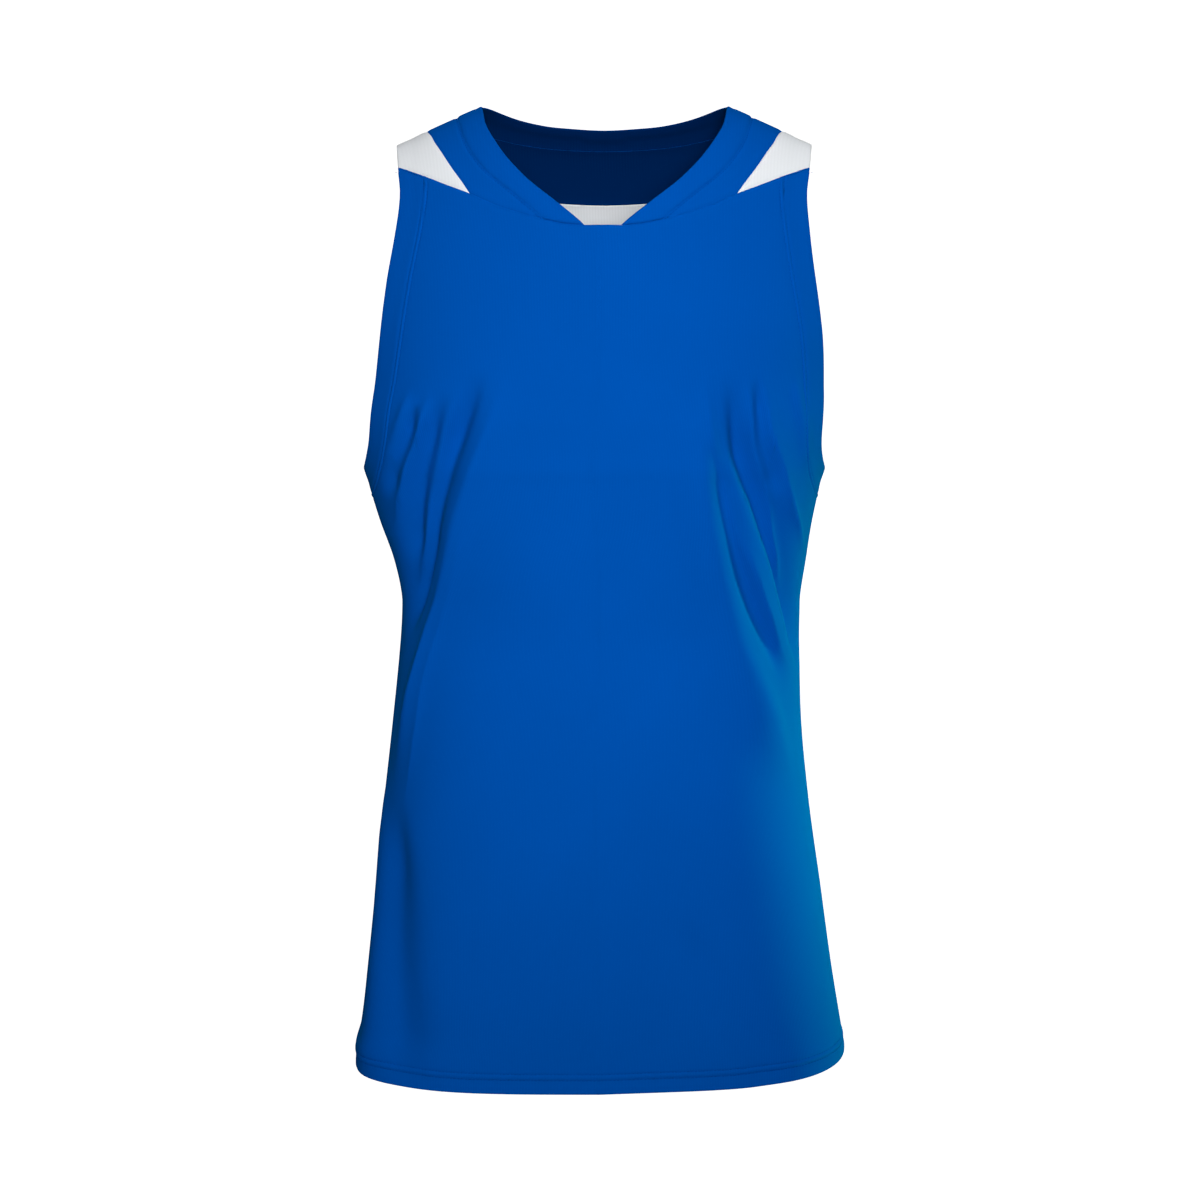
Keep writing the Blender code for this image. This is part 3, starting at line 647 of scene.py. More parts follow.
def outline(table, side=1, back=False):
    """The places of an outline table, on the left (side 1) or the right (side -1)."""
    places = []
    for row in table:
        if row[0] == "angle":
            angle = math.radians(180 - row[1] if back else row[1]) * side
            places.append((angle, float(lead_of(angle, row[2]))))
            continue
        across, height = side * row[0], row[1]
        on_ridge = height is None
        height = float(ridge_height(across)) if on_ridge else height
        ring = [float(np.interp(height, FINE_HEIGHTS, FINE_RINGS[:, c])) for c in range(1, 6)]
        depth = ring[3] if back else ring[2]
        along = depth * (1 - abs(across / ring[1]) ** ring[4]) ** (1 / ring[4])
        angle = math.atan2(across, -along if back else along)
        places.append((angle, 0.0 if on_ridge else float(lead_of(angle, height))))
    places = np.array(places)
    if back:
        places[:, 0] %= 2 * math.pi
    return places


def smooth_line(controls, fine=16):
    """A fine line through the controls, which meets the ridge square, and the index of each control in it."""
    points = cloth(controls[:, 0], controls[:, 1])
    knots = np.concatenate([[0.0], np.cumsum(np.linalg.norm(np.diff(points, axis=0), axis=1))])
    slopes = []
    for i in range(len(controls)):
        first, last = max(i - 1, 0), min(i + 1, len(controls) - 1)
        slope = (controls[last] - controls[first]) / (knots[last] - knots[first])
        slopes.append(np.array([0.0, slope[1]]) if controls[i][1] == 0 else slope)
    line, marks = [controls[0]], [0]
    for i in range(len(controls) - 1):
        length = knots[i + 1] - knots[i]
        for step in range(1, fine + 1):
            t = step / fine
            line.append(
                controls[i] * (2 * t**3 - 3 * t**2 + 1) + slopes[i] * (length * (t**3 - 2 * t**2 + t))
                + controls[i + 1] * (3 * t**2 - 2 * t**3) + slopes[i + 1] * (length * (t**3 - t**2))
            )
        marks.append(len(line) - 1)
    return np.array(line), marks


def lengths_of(line):
    points = cloth(line[:, 0], line[:, 1])
    return np.concatenate([[0.0], np.cumsum(np.linalg.norm(np.diff(points, axis=0), axis=1))])


def spaced(line, shares):
    """The line's places at shares of its length."""
    lengths = lengths_of(line)
    wanted = np.asarray(shares) * lengths[-1]
    return np.stack([np.interp(wanted, lengths, line[:, c]) for c in (0, 1)], -1)


def even(cells):
    return np.linspace(0.0, 1.0, cells + 1)


def joined(*runs):
    return np.concatenate([runs[0]] + [run[1:] for run in runs[1:]])


def ridge_run(inner, outer, side, back, shares):
    across = side * (inner + (outer - inner) * np.asarray(shares))
    places = [outline(((abs(x), None),), side, back)[0] for x in across]
    return np.array(places)


def edged(length, cell, near=True, far=True):
    """Shares of a length for even cells, with narrow ones at the ends that have a rolled edge."""
    inner = [0.0] if not near else list(EDGE_STEPS)
    outer = [0.0] if not far else list(EDGE_STEPS)
    middle = length - inner[-1] - outer[-1]
    count = max(int(round(middle / cell)), 1)
    between = [inner[-1] + middle * i / count for i in range(1, count)]
    return np.array(inner + between + [length - step for step in outer[::-1]]) / length


def filled(top, bottom, start, end, fade=1):
    """Rows of places between four lines. A side line's departure from straight fades away from its side."""
    def along(line):
        lengths = lengths_of(line)
        return lengths / lengths[-1]

    v = 0.5 * (along(start) + along(end))[:, None, None]
    u = 0.5 * (along(top) + along(bottom))[None, :, None]
    start_off = start[:, None] - (start[0] * (1 - v) + start[-1] * v)
    end_off = end[:, None] - (end[0] * (1 - v) + end[-1] * v)
    return top[None] * (1 - v) + bottom[None] * v + start_off * (1 - u) ** fade + end_off * u ** fade


# ---------------------------------------------------------------- seam and edge lines


def half_lines(side):
    """Every line on one side of the garment."""
    lines = {}
    arm, marks = smooth_line(outline(ARMHOLE_FRONT, side))
    lines["arm_shoulder"], lines["arm_low"] = arm[:marks[1] + 1], arm[marks[1]:]
    arm, marks = smooth_line(outline(ARMHOLE_BACK, side, True))
    lines["arm_back_shoulder"], lines["arm_back_low"] = arm[:marks[1] + 1], arm[marks[1]:]
    top, marks = smooth_line(outline(TOP_SEAM_FRONT, side))
    for name, first, last in (("insert_low", 0, 3), ("yoke_low", 3, 6), ("band_end", 6, 8), ("v_half", 8, 9)):
        lines[name] = top[marks[first]:marks[last] + 1]
    lines["insert_seam"] = smooth_line(outline(INSERT_SEAM, side))[0]
    lines["band_seam"] = smooth_line(outline(BAND_SEAM_FRONT, side))[0]
    lines["neck"] = smooth_line(outline(NECK_EDGE_FRONT, side))[0]
    return lines


def across_back(table):
    left, right = outline(table, 1, True), outline(table, -1, True)
    return smooth_line(np.concatenate([left, right[-2::-1]]))[0]


def hem_height(angle):
    across = np.sin(angle)
    end = np.where(np.cos(angle) >= 0, HEM_FRONT, HEM_BACK) + HEM_TILT * np.maximum(across, 0)
    side = np.where(across >= 0, HEM_SIDE_LEFT, HEM_SIDE_RIGHT)
    return end + (side - end) * np.abs(across) ** HEM_CORNER


LINES = {1: half_lines(1), -1: half_lines(-1)}
BACK_LINES = {
    "neck": across_back(NECK_EDGE_BACK), "band_seam": across_back(BAND_SEAM_BACK),
    "stripe_top": across_back(STRIPE_TOP), "top_seam": across_back(TOP_SEAM_BACK),
}


def points_of(line):
    return cloth(line[:, 0], line[:, 1])


def distance_to(points, lines):
    """The shortest distance from each point to any of several lines of points."""
    best = np.full(len(points), 9.0)
    for line in lines:
        for start, end in zip(line[:-1], line[1:]):
            step = end - start
            share = np.clip((points - start) @ step / max(float(step @ step), 1e-12), 0.0, 1.0)
            best = np.minimum(best, np.linalg.norm(points - start - share[:, None] * step, axis=1))
    return best


# ---------------------------------------------------------------- meshes


def skin_of(grids):
    """One open skin from several grids of places, joined where their edges meet."""
    index, places, faces = {}, [], []
    for grid in grids:
        rows, columns = grid.shape[:2]
        numbers = np.empty((rows, columns), int)
        points = cloth(grid[..., 0].ravel(), grid[..., 1].ravel()).reshape(rows, columns, 3)
        for i in range(rows):
            for j in range(columns):
                key = tuple(np.round(points[i, j] * WELD).astype(int))
                if key not in index:
                    index[key] = len(places)
                    places.append(grid[i, j])
                numbers[i, j] = index[key]
        for i in range(rows - 1):
            for j in range(columns - 1):
                face = (numbers[i, j], numbers[i + 1, j], numbers[i + 1, j + 1], numbers[i, j + 1])
                if len(set(face)) == 4:
                    faces.append(face)
                elif len(set(face)) == 3:
                    faces.append(tuple(dict.fromkeys(face)))
    return np.array(places), faces


def shell(name, grids, material, seams=(), free=(), hems=(), rows=(), rise=0.0, fold=None,
          inside=None):
    """A thin piece of cloth with rolled free edges and edges that dip into their seams.

    seams and free are lines of places. hems are (line, depth) pairs along which the cloth is doubled inside.
    rows are (lines, distances) pairs: where stitches run at those distances from the lines, they pull it in.
    """
    thickness = sizes().cloth_thickness
    fold = fold or sizes().hem_thickness
    places, faces = skin_of(grids)
    points, normals = cloth(places[:, 0], places[:, 1]), facing(places[:, 0], places[:, 1])
    for i, face in enumerate(faces):
        first, second, third = (points[k] for k in face[:3])
        if np.dot(np.cross(second - first, third - first), normals[face[0]]) < 0:
            faces[i] = face[::-1]
    lift = np.full(len(points), rise)
    if seams:
        seam_distance = distance_to(points, [points_of(line) for line in seams])
        lift -= SEAM_DIP * np.exp(-((seam_distance / SEAM_DIP_WIDTH) ** 2))
    for lines, distances in rows:
        away = distance_to(points, [points_of(line) for line in lines])
        for distance in distances:
            lift -= STITCH_DIP * np.exp(-(((away - distance) / STITCH_DIP_WIDTH) ** 2))
        if len(distances) > 1:
            gap = distances[1] - distances[0]
            lift += STITCH_TUNNEL * np.exp(-(((away - sum(distances) / 2) / (gap * TUNNEL_WIDTH)) ** 2))
    inner = np.full(len(points), thickness)
    for line, depth in hems:
        away = distance_to(points, [points_of(line)])
        lift -= HEM_HOLLOW * np.exp(-(((away - depth * HOLLOW_PLACE) / (depth * HOLLOW_WIDTH)) ** 2))
        inner = np.maximum(inner, np.where(away < depth, fold, thickness))
    top, bottom = lift.copy(), lift - inner
    if free:
        gap = distance_to(points, [points_of(line) for line in free])
        half = (top - bottom) / 2
        middle = (top + bottom) / 2
        nose = np.sqrt(np.clip(1 - (1 - np.clip(gap / half, 0, 1)) ** 2, ROLLED_LEAST, 1.0))
        top, bottom = middle + half * nose, middle - half * nose
    count = len(points)
    vertices = np.concatenate([points + normals * top[:, None], points + normals * bottom[:, None]])
    edges = dict.fromkeys(edge for face in faces for edge in zip(face, face[1:] + face[:1]))
    polygons = faces + [tuple(k + count for k in face[::-1]) for face in faces]
    polygons += [(b, a, a + count, b + count) for a, b in edges if (b, a) not in edges]
    data = bpy.data.meshes.new(name)
    data.from_pydata([tuple(v) for v in vertices], [], [tuple(int(k) for k in p) for p in polygons])
    data.update()
    data.polygons.foreach_set("use_smooth", [True] * len(data.polygons))
    layer = data.uv_layers.new(name="Cloth")
    flat = np.stack([length_round(places[:, 0]), height_of(places[:, 0], places[:, 1])], -1)
    flat = np.concatenate([flat, flat])
    loops = np.empty(len(data.loops), int)
    data.loops.foreach_get("vertex_index", loops)
    layer.data.foreach_set("uv", flat[loops].ravel())
    data.materials.append(material)
    # The inner faces take the second material; for the blue pieces this is the painted-shade copy of the blue
    if inside:
        data.materials.append(inside)
        sides = np.zeros(len(polygons), int)
        sides[len(faces):2 * len(faces)] = 1
        data.polygons.foreach_set("material_index", sides)
    obj = shown(name, data)
    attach(obj, "root")
    return obj


# ---------------------------------------------------------------- materials


def fill(node, values):
    """Set inputs of a shader node by their names."""
    for name, value in values.items():
        node.inputs[name].default_value = value


def knit(name, colour, shade, roughness, sheen):
    """Smooth interlock knit: columns of fine loops, a little unevenness in the dye and a soft sheen."""
    if name in bpy.data.materials:
        return bpy.data.materials[name]
    material = bpy.data.materials.new(name)
    material.use_nodes = True
    nodes, links = material.node_tree.nodes, material.node_tree.links
    shader = nodes["Principled BSDF"]
    place = nodes.new("ShaderNodeUVMap")
    place.uv_map = "Cloth"
    scale = colours().knit_scale

    def wave(fineness, direction):
        node = nodes.new("ShaderNodeTexWave")
        node.wave_type, node.bands_direction, node.wave_profile = "BANDS", direction, "SIN"
        fill(node, {"Scale": fineness, "Distortion": 0.0, "Detail": 0.0})
        links.new(place.outputs["UV"], node.inputs["Vector"])
        return node

    columns = wave(scale, "X")
    courses = wave(scale * COURSES_PER_COLUMN, "Y")
    loops = nodes.new("ShaderNodeMath")
    loops.operation = "MULTIPLY_ADD"
    loops.inputs[1].default_value = COURSE_SHARE
    links.new(courses.outputs["Fac"], loops.inputs[0])
    links.new(columns.outputs["Fac"], loops.inputs[2])
    bump = nodes.new("ShaderNodeBump")
    fill(bump, {"Strength": LOOP_STRENGTH, "Distance": LOOP_DEPTH})
    links.new(loops.outputs[0], bump.inputs["Height"])
    links.new(bump.outputs["Normal"], shader.inputs["Normal"])

    cloudy = nodes.new("ShaderNodeTexNoise")
    fill(cloudy, {"Scale": DYE_SCALE, "Detail": DYE_DETAIL})
    links.new(place.outputs["UV"], cloudy.inputs["Vector"])
    blend = nodes.new("ShaderNodeMix")
    blend.data_type = "RGBA"
    fill(blend, {"A": (*(shade * part for part in colour), 1.0), "B": (*colour, 1.0)})
    level = nodes.new("ShaderNodeMapRange")
    fill(level, {"From Min": DYE_RANGE[0], "From Max": DYE_RANGE[1]})
    links.new(cloudy.outputs["Fac"], level.inputs["Value"])
    links.new(level.outputs["Result"], blend.inputs["Factor"])
    fine = nodes.new("ShaderNodeMix")
    fine.data_type = "RGBA"
    fine.blend_type = "MULTIPLY"
    fine.inputs["Factor"].default_value = COLUMN_TONE
    links.new(blend.outputs["Result"], fine.inputs["A"])
    links.new(columns.outputs["Color"], fine.inputs["B"])
    links.new(fine.outputs["Result"], shader.inputs["Base Color"])
    fill(shader, {
        "Roughness": roughness, "Specular IOR Level": 0.0, "Sheen Weight": colours().sheen,
        "Sheen Roughness": SHEEN_ROUGHNESS, "Sheen Tint": (*sheen, 1.0),
    })
    material.diffuse_color = (*colour, 1.0)
    return material


def blue_knit():
    return knit("blue_knit", colours().blue, BLUE_SHADE, BLUE_ROUGHNESS, BLUE_SHEEN)


# Painted shade: the material of the inner faces, a darkened copy of the blue knit that stands in for the
# shade inside the garment
def blue_inside_painted_shade():
    return knit("blue_knit_inside_painted_shade", colours().blue_inside_painted_shade, BLUE_SHADE, INSIDE_ROUGHNESS, BLUE_SHEEN)


def white_knit():
    return knit("white_knit", colours().white, WHITE_SHADE, WHITE_ROUGHNESS, WHITE_SHEEN)


def thread():
    """Twisted polyester sewing thread."""
    if "blue_thread" in bpy.data.materials:
        return bpy.data.materials["blue_thread"]
    material = bpy.data.materials.new("blue_thread")
    material.use_nodes = True
    nodes, links = material.node_tree.nodes, material.node_tree.links
    shader = nodes["Principled BSDF"]
    place = nodes.new("ShaderNodeTexCoord")
    twist = nodes.new("ShaderNodeTexWave")
    twist.bands_direction = "DIAGONAL"
    twist.inputs["Scale"].default_value = TWIST_SCALE
    links.new(place.outputs["Object"], twist.inputs["Vector"])
    bump = nodes.new("ShaderNodeBump")
    bump.inputs["Distance"].default_value = TWIST_DEPTH
    links.new(twist.outputs["Fac"], bump.inputs["Height"])
    links.new(bump.outputs["Normal"], shader.inputs["Normal"])
    fill(shader, {
        "Base Color": (*colours().thread, 1.0), "Roughness": THREAD_ROUGHNESS, "Specular IOR Level": 0.0,
    })
    material.diffuse_color = (*colours().thread, 1.0)
    return material


# ---------------------------------------------------------------- pieces


def replace(obj, node):
    """Let a piece of cloth stand for a solid by hiding the solid."""
    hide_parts(node)


def armhole_strip(low, seam_part, side_line, side, back, rows):
    """The strip along an armhole from its edge to the hem's stitches, as a grid, and its inner line."""
    cells = int(lengths_of(low)[-1] / ARM_CELL)
    edge = spaced(low, 1 - (1 - even(cells)) ** ARM_CROWDING)
    aside = -side if not back else side
    inner = walked(edge, aside, ARMHOLE_HEM)
    start, end = spaced(seam_part, rows), spaced(side_line, rows)
    share = even(cells)[:, None]
    inner = (
        inner + (start[-1] - inner[0]) * (1 - share) ** STRIP_FADE
        + (end[-1] - inner[-1]) * share**STRIP_FADE
    )
    return filled(edge, inner, start, end), inner


def cut_at(line, distance):
    """A line in two runs, parted at a distance from its start."""
    lengths = lengths_of(line)
    share = distance / lengths[-1]
    here = spaced(line, [share])
    count = int(np.searchsorted(lengths, distance))
    return np.concatenate([line[:count], here]), np.concatenate([here, line[count:]])


def side_seam(side):
    """The side seam from the underarm down for the width of the armhole's hem."""
    angle = np.full(UNDERARM_PLACES, side * math.pi / 2)
    return places_at(angle, np.linspace(UNDERARM, UNDERARM - ARMHOLE_HEM, UNDERARM_PLACES))


def parted(angle, least=COLUMN_GAP):
    """Angles of the columns below a top line, in order and a little apart, worked in from both ends."""
    turn = np.sign(angle[-1] - angle[0])
    below, half = angle * turn, len(angle) // 2
    for i in range(1, half):
        below[i] = max(below[i], below[i - 1] + least)
    for i in range(len(angle) - 2, half - 1, -1):
        below[i] = min(below[i], below[i + 1] - least)
    return below * turn


def body_grid(top):
    """Rows from a top line straight down to the hem, close together at the seam, the stitches and the hem."""
    angle, lead = top[:, 0], top[:, 1]
    below = parted(angle)
    high, low = height_of(angle, lead), hem_height(below)
    heights = [high - step for step in TOP_STEPS]
    start, end = heights[-1], low + HEM_STEPS[0]
    count = int(BODY_LENGTH / CELL)
    for i in range(1, count):
        heights.append(start + (end - start) * (i / count) * (ROW_SPREAD[0] + ROW_SPREAD[1] * i / count))
    heights += [low + step for step in HEM_STEPS]
    heights = np.array(heights)
    angles = angle + (below - angle) * np.clip((high - heights) / COLUMN_SHIFT, 0.0, 1.0)
    leads = lead_of(angles, heights)
    leads[0] = lead
    return np.stack([angles, leads], -1)


def hem_line(back):
    angle = np.linspace(-math.pi / 2, math.pi / 2, HEM_PLACES) + (math.pi if back else 0.0)
    return places_at(angle, hem_height(angle))


def make_body(back):
    """The front or the back panel: a strip along each armhole's hem, and a grid from top seam to hem."""
    strip_rows = np.array(EDGE_STEPS + STRIP_STEPS[::-1]) / ARMHOLE_HEM
    parts, grids = {}, []
    for side in (1, -1):
        lines = LINES[side]
        if back:
            seam = BACK_LINES["top_seam"] if side == 1 else BACK_LINES["top_seam"][::-1]
            low = lines["arm_back_low"]
        else:
            seam = joined(lines["insert_low"], lines["yoke_low"], lines["band_end"], lines["v_half"])
            low = lines["arm_low"]
        end_part, rest = cut_at(seam, ARMHOLE_HEM)
        down = side_seam(side)
        if back:
            down = np.stack([down[:, 0] % (2 * math.pi), down[:, 1]], -1)
            low = np.stack([low[:, 0] % (2 * math.pi), low[:, 1]], -1)
        grid, inner = armhole_strip(low, end_part, down, side, back, strip_rows)
        grids.append(grid)
        parts[side] = (inner, rest)
    if back:
        middle = cut_at(parts[1][1], lengths_of(parts[1][1])[-1] - ARMHOLE_HEM)[0]
        count = int(lengths_of(middle)[-1] / CELL)
        top = joined(parts[1][0][::-1], spaced(middle, even(count)), parts[-1][0])
    else:
        halves = []
        for side in (1, -1):
            inner, rest = parts[side]
            count = int(lengths_of(rest)[-1] / CELL * FRONT_CROWDING[0])
            halves.append(joined(inner[::-1], spaced(rest, even(count) ** FRONT_CROWDING[1])))
        top = joined(halves[0], halves[1][::-1])
    grids.append(body_grid(top))
    name = "back_cloth" if back else "front_cloth"
    hem, arms, ends, seams = hem_line(back), [], [], []
    for side in (1, -1):
        lines = LINES[side]
        arms.append(lines["arm_back_low"] if back else lines["arm_low"])
        angle = np.full(SIDE_PLACES, side * math.pi / 2)
        seams.append(places_at(angle, np.linspace(UNDERARM, float(hem_height(angle)[0]), SIDE_PLACES)))
        if not back:
            seams.append(joined(lines["insert_low"], lines["yoke_low"], lines["band_end"]))
            ends.append(lines["v_half"])
    hems = [(line, ARMHOLE_HEM) for line in arms] + [(hem, HEM_DEPTH)]
    rows = [(arms, ARM_ROWS), ([hem], HEM_ROWS)]
    if back:
        seams.append(BACK_LINES["top_seam"])
        rows.append(([BACK_LINES["top_seam"]], TOP_ROWS))
    return shell(
        name, grids, blue_knit(), seams, [hem, *arms, *ends], hems, rows=rows, inside=blue_inside_painted_shade(),
    )


def make_insert(side):
    """The white gore of one shoulder."""
    lines = LINES[side]
    shares = edged(INSERT_WIDTH, INSERT_CELL, False, True)
    top = ridge_run(INSERT_SEAM_ON_RIDGE, SHOULDER_TIP, side, False, shares)
    bottom = spaced(lines["insert_low"][::-1], shares)
    down = edged(INSERT_LENGTH, INSERT_CELL, True, True)
    grid = filled(top, bottom, spaced(lines["insert_seam"], down), spaced(lines["arm_shoulder"], down))
    ridge = ridge_run(INSERT_SEAM_ON_RIDGE, SHOULDER_TIP, side, False, even(RIDGE_CELLS))
    return shell(
        f"insert_{SIDES[side]}_cloth", [grid], white_knit(),
        [ridge, lines["insert_low"], lines["insert_seam"]], [lines["arm_shoulder"]],
        [(lines["arm_shoulder"], ARMHOLE_HEM)],
    )


def make_yoke_front(side):
    """The blue strap of one shoulder."""
    lines = LINES[side]
    shares, down = edged(YOKE_WIDTH, YOKE_CELL), edged(YOKE_LENGTH, CELL)
    top = ridge_run(BAND_SEAM_ON_RIDGE, INSERT_SEAM_ON_RIDGE, side, False, shares)
    bottom = spaced(lines["yoke_low"][::-1], shares)
    grid = filled(top, bottom, spaced(lines["band_seam"], down), spaced(lines["insert_seam"], down))
    ridge = ridge_run(BAND_SEAM_ON_RIDGE, INSERT_SEAM_ON_RIDGE, side, False, even(RIDGE_CELLS))
    return shell(
        f"yoke_front_{SIDES[side]}_cloth", [grid], blue_knit(),
        [ridge, lines["yoke_low"], lines["band_seam"], lines["insert_seam"]],
        rows=[([lines["band_seam"]], (BAND_ROW,))], inside=blue_inside_painted_shade(),
    )


def make_yoke_back():
    """The blue upper back below the neckband."""
    across, down = even(BACK_CELLS), edged(BACK_YOKE_LENGTH, CELL)
    ends = [ridge_run(BAND_SEAM_ON_RIDGE, INSERT_SEAM_ON_RIDGE, side, True, down) for side in (1, -1)]
    top, bottom = BACK_LINES["band_seam"], BACK_LINES["stripe_top"]
    grid = filled(spaced(top, across), spaced(bottom, across), *ends)
    return shell(
        "yoke_back_cloth", [grid], blue_knit(), [top, bottom, *ends], rows=[([top], (BAND_ROW,))],
        inside=blue_inside_painted_shade(),
    )


def make_stripe():
    """The white stripe across the upper back."""
    across = edged(STRIPE_LENGTH, CELL)
    ends, seam_ends = [], []
    for side in (1, -1):
        ridge = ridge_run(INSERT_SEAM_ON_RIDGE, SHOULDER_TIP, side, True, even(7))
        arm = spaced(LINES[side]["arm_back_shoulder"], even(9))
        if side == -1:
            arm = np.stack([arm[:, 0] % (2 * math.pi), arm[:, 1]], -1)
        ends.append(joined(ridge, arm))
        seam_ends.append(ridge)
    top, bottom = BACK_LINES["stripe_top"], BACK_LINES["top_seam"]
    grid = filled(spaced(top, across), spaced(bottom, across), *ends, fade=STRIPE_FADE)
    arms = [LINES[side]["arm_back_shoulder"] for side in (1, -1)]
    return shell(
        "stripe_back_cloth", [grid], white_knit(), [top, bottom, *seam_ends], arms,
        [(arm, ARMHOLE_HEM) for arm in arms],
    )


def make_neckband():
    """The band round the neck, doubled for a little way below its folded edge."""
    rows = edged(BAND_WIDTH, BAND_CELL, True, True)
    along = even(BAND_CELLS)
    grids, free, seams = [], [], []
    for side in (1, -1):
        lines = LINES[side]
        start = ridge_run(NECK_HALF_WIDTH, BAND_SEAM_ON_RIDGE, side, False, rows)
        end = spaced(lines["band_end"][::-1], rows)
        grids.append(filled(start, end, spaced(lines["neck"], along), spaced(lines["band_seam"], along)))
        free.append(lines["neck"])
        seams += [lines["band_seam"], lines["band_end"]]
    across = even(BACK_CELLS)
    ends = [ridge_run(NECK_HALF_WIDTH, BAND_SEAM_ON_RIDGE, side, True, rows) for side in (1, -1)]
    grids.append(filled(spaced(BACK_LINES["neck"], across), spaced(BACK_LINES["band_seam"], across), *ends))
    free.append(BACK_LINES["neck"])
    seams.append(BACK_LINES["band_seam"])
    return shell(
        "neckband_cloth", grids, blue_knit(), seams, free, [(line, BAND_FOLD) for line in free],
        rise=BAND_RISE, fold=sizes().band_thickness, inside=blue_inside_painted_shade(),
    )


# ---------------------------------------------------------------- stitches


def stitches(name, lines):
    """Rows of short threads lying in the cloth along lines of places."""
    pitch, size, radius = sizes().stitch_pitch, sizes().stitch_length, sizes().thread_radius
    vertices, faces = [], []
    for line in lines:
        count = int(lengths_of(line)[-1] / pitch)
        if count < 1:
            continue
        middles = spaced(line, (np.arange(count) + 0.5) / count)
        points = points_of(middles)
        normals = facing(middles[:, 0], middles[:, 1])
        ahead = points_of(spaced(line, np.clip((np.arange(count) + STITCH_AHEAD) / count, 0, 1)))
        along = unit(ahead - points)
        across = unit(np.cross(normals, along))
        for place, normal, forward, aside in zip(points - normals * STITCH_DIP, normals, along, across):
            base = len(vertices)
            for ring in range(STITCH_RINGS + 1):
                t = ring / STITCH_RINGS * 2 - 1
                bulge = radius * math.sqrt(max(1 - t * t, STITCH_END))
                lift = -radius * STITCH_FALL * t * t + radius * STITCH_LIFT
                for k in range(STITCH_SIDES):
                    turn = 2 * math.pi * k / STITCH_SIDES
                    vertices.append(
                        place + forward * (t * size / 2) + aside * (bulge * math.cos(turn))
                        + normal * (lift + bulge * math.sin(turn))
                    )
            for ring in range(STITCH_RINGS):
                start = base + ring * STITCH_SIDES
                for k in range(STITCH_SIDES):
                    first, second = start + k, start + (k + 1) % STITCH_SIDES
                    faces.append((first, second, second + STITCH_SIDES, first + STITCH_SIDES))
            faces.append(tuple(range(base, base + STITCH_SIDES))[::-1])
            end = base + STITCH_RINGS * STITCH_SIDES
            faces.append(tuple(range(end, end + STITCH_SIDES)))
    data = bpy.data.meshes.new(name)
    data.from_pydata([tuple(v) for v in vertices], [], faces)
    data.polygons.foreach_set("use_smooth", [True] * len(data.polygons))
    data.materials.append(thread())
    obj = shown(name, data)
    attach(obj, "root")


def sewn(seam, cells, aside, distance):
    """A row of stitches at a distance beside a seam."""
    return walked(spaced(seam, even(cells)), aside, distance)


def hem_row(distance, back):
    """A row of stitches at a distance above the bottom edge."""
    angle = hem_line(back)[:, 0]
    return places_at(angle, hem_height(angle) + distance)


def stitch_hem():
    stitches("stitches_hem", [hem_row(distance, back) for distance in HEM_ROWS for back in (False, True)])


def stitch_armholes():
    rows = []
    for side in (1, -1):
        lines = LINES[side]
        for distance in ARM_ROWS:
            rows.append(sewn(lines["arm_low"], SEAM_CELLS, -side, distance))
            rows.append(sewn(lines["arm_back_low"], SEAM_CELLS, side, distance))
    stitches("stitches_armholes", rows)


def stitch_top_seams():
    rows = []
    for distance in TOP_ROWS:
        for side in (1, -1):
            lines = LINES[side]
            seam = joined(lines["insert_low"], lines["yoke_low"], lines["band_end"])
            rows.append(sewn(seam, SEAM_CELLS, side, distance))
        rows.append(sewn(BACK_LINES["top_seam"], BACK_CELLS, 1, distance))
    stitches("stitches_top_seams", rows)


def stitch_neckband():
    rows = [sewn(LINES[side]["band_seam"], BAND_SEAM_CELLS, side, BAND_ROW) for side in (1, -1)]
    rows.append(sewn(BACK_LINES["band_seam"], BACK_CELLS, 1, BAND_ROW))
    stitches("stitches_neckband", rows)


# ---------------------------------------------------------------- stage


def plain_material(name, colour, roughness):
    material = bpy.data.materials.new(name)
    material.use_nodes = True
    shader = material.node_tree.nodes["Principled BSDF"]
    fill(shader, {"Base Color": (*colour, 1.0), "Roughness": roughness})
    return material


def studio_surface(name, vertices, faces, glow, lights_cloth=False):
    """One pale piece of the studio, bright by itself, which lights the cloth only where asked."""
    data = bpy.data.meshes.new(name)
    data.from_pydata(vertices, [], faces)
    material = plain_material(name + "_white", PALE, PALE_ROUGHNESS)
    shader = material.node_tree.nodes["Principled BSDF"]
    fill(shader, {"Emission Color": (*DAYLIGHT, 1.0), "Emission Strength": glow})
    data.materials.append(material)
    obj = shown(name, data)
    obj.visible_diffuse = obj.visible_glossy = lights_cloth


def rim(degrees, height):
    """A place on the studio's round wall, turned from straight behind the garment."""
    turn = math.radians(degrees)
    return WALL_RADIUS * math.sin(turn), WALL_RADIUS * math.cos(turn), height


def make_wall(name, start, end, glow, lights_cloth=False):
    """A part of the round wall, from one turn to another."""
    steps = round(WALL_STEPS * (end - start) / 360)
    vertices = []
    for i in range(steps + 1):
        turn = start + (end - start) * i / steps
        vertices += [rim(turn, FLOOR), rim(turn, WALL_TOP)]
    faces = [(2 * i, 2 * i + 1, 2 * i + 3, 2 * i + 2) for i in range(steps)]
    studio_surface(name, vertices, faces, glow, lights_cloth)


def make_studio():
    """A pale round floor far below and a pale round wall, brightest behind the garment."""
    make_wall("backdrop", -BACKDROP_TURN, BACKDROP_TURN, BACKDROP_GLOW, True)
    make_wall("wall", BACKDROP_TURN, 360 - BACKDROP_TURN, WALL_GLOW)
    floor = [rim(360 * i / WALL_STEPS, FLOOR) for i in range(WALL_STEPS)]
    studio_surface("floor", floor, [tuple(range(WALL_STEPS))], FLOOR_GLOW)


def aimed(obj, place, target):
    """Put a lamp or camera in its place and turn it to its target."""
    obj.location = place
    obj.rotation_euler = (target - place).to_track_quat("-Z", "Y").to_euler()


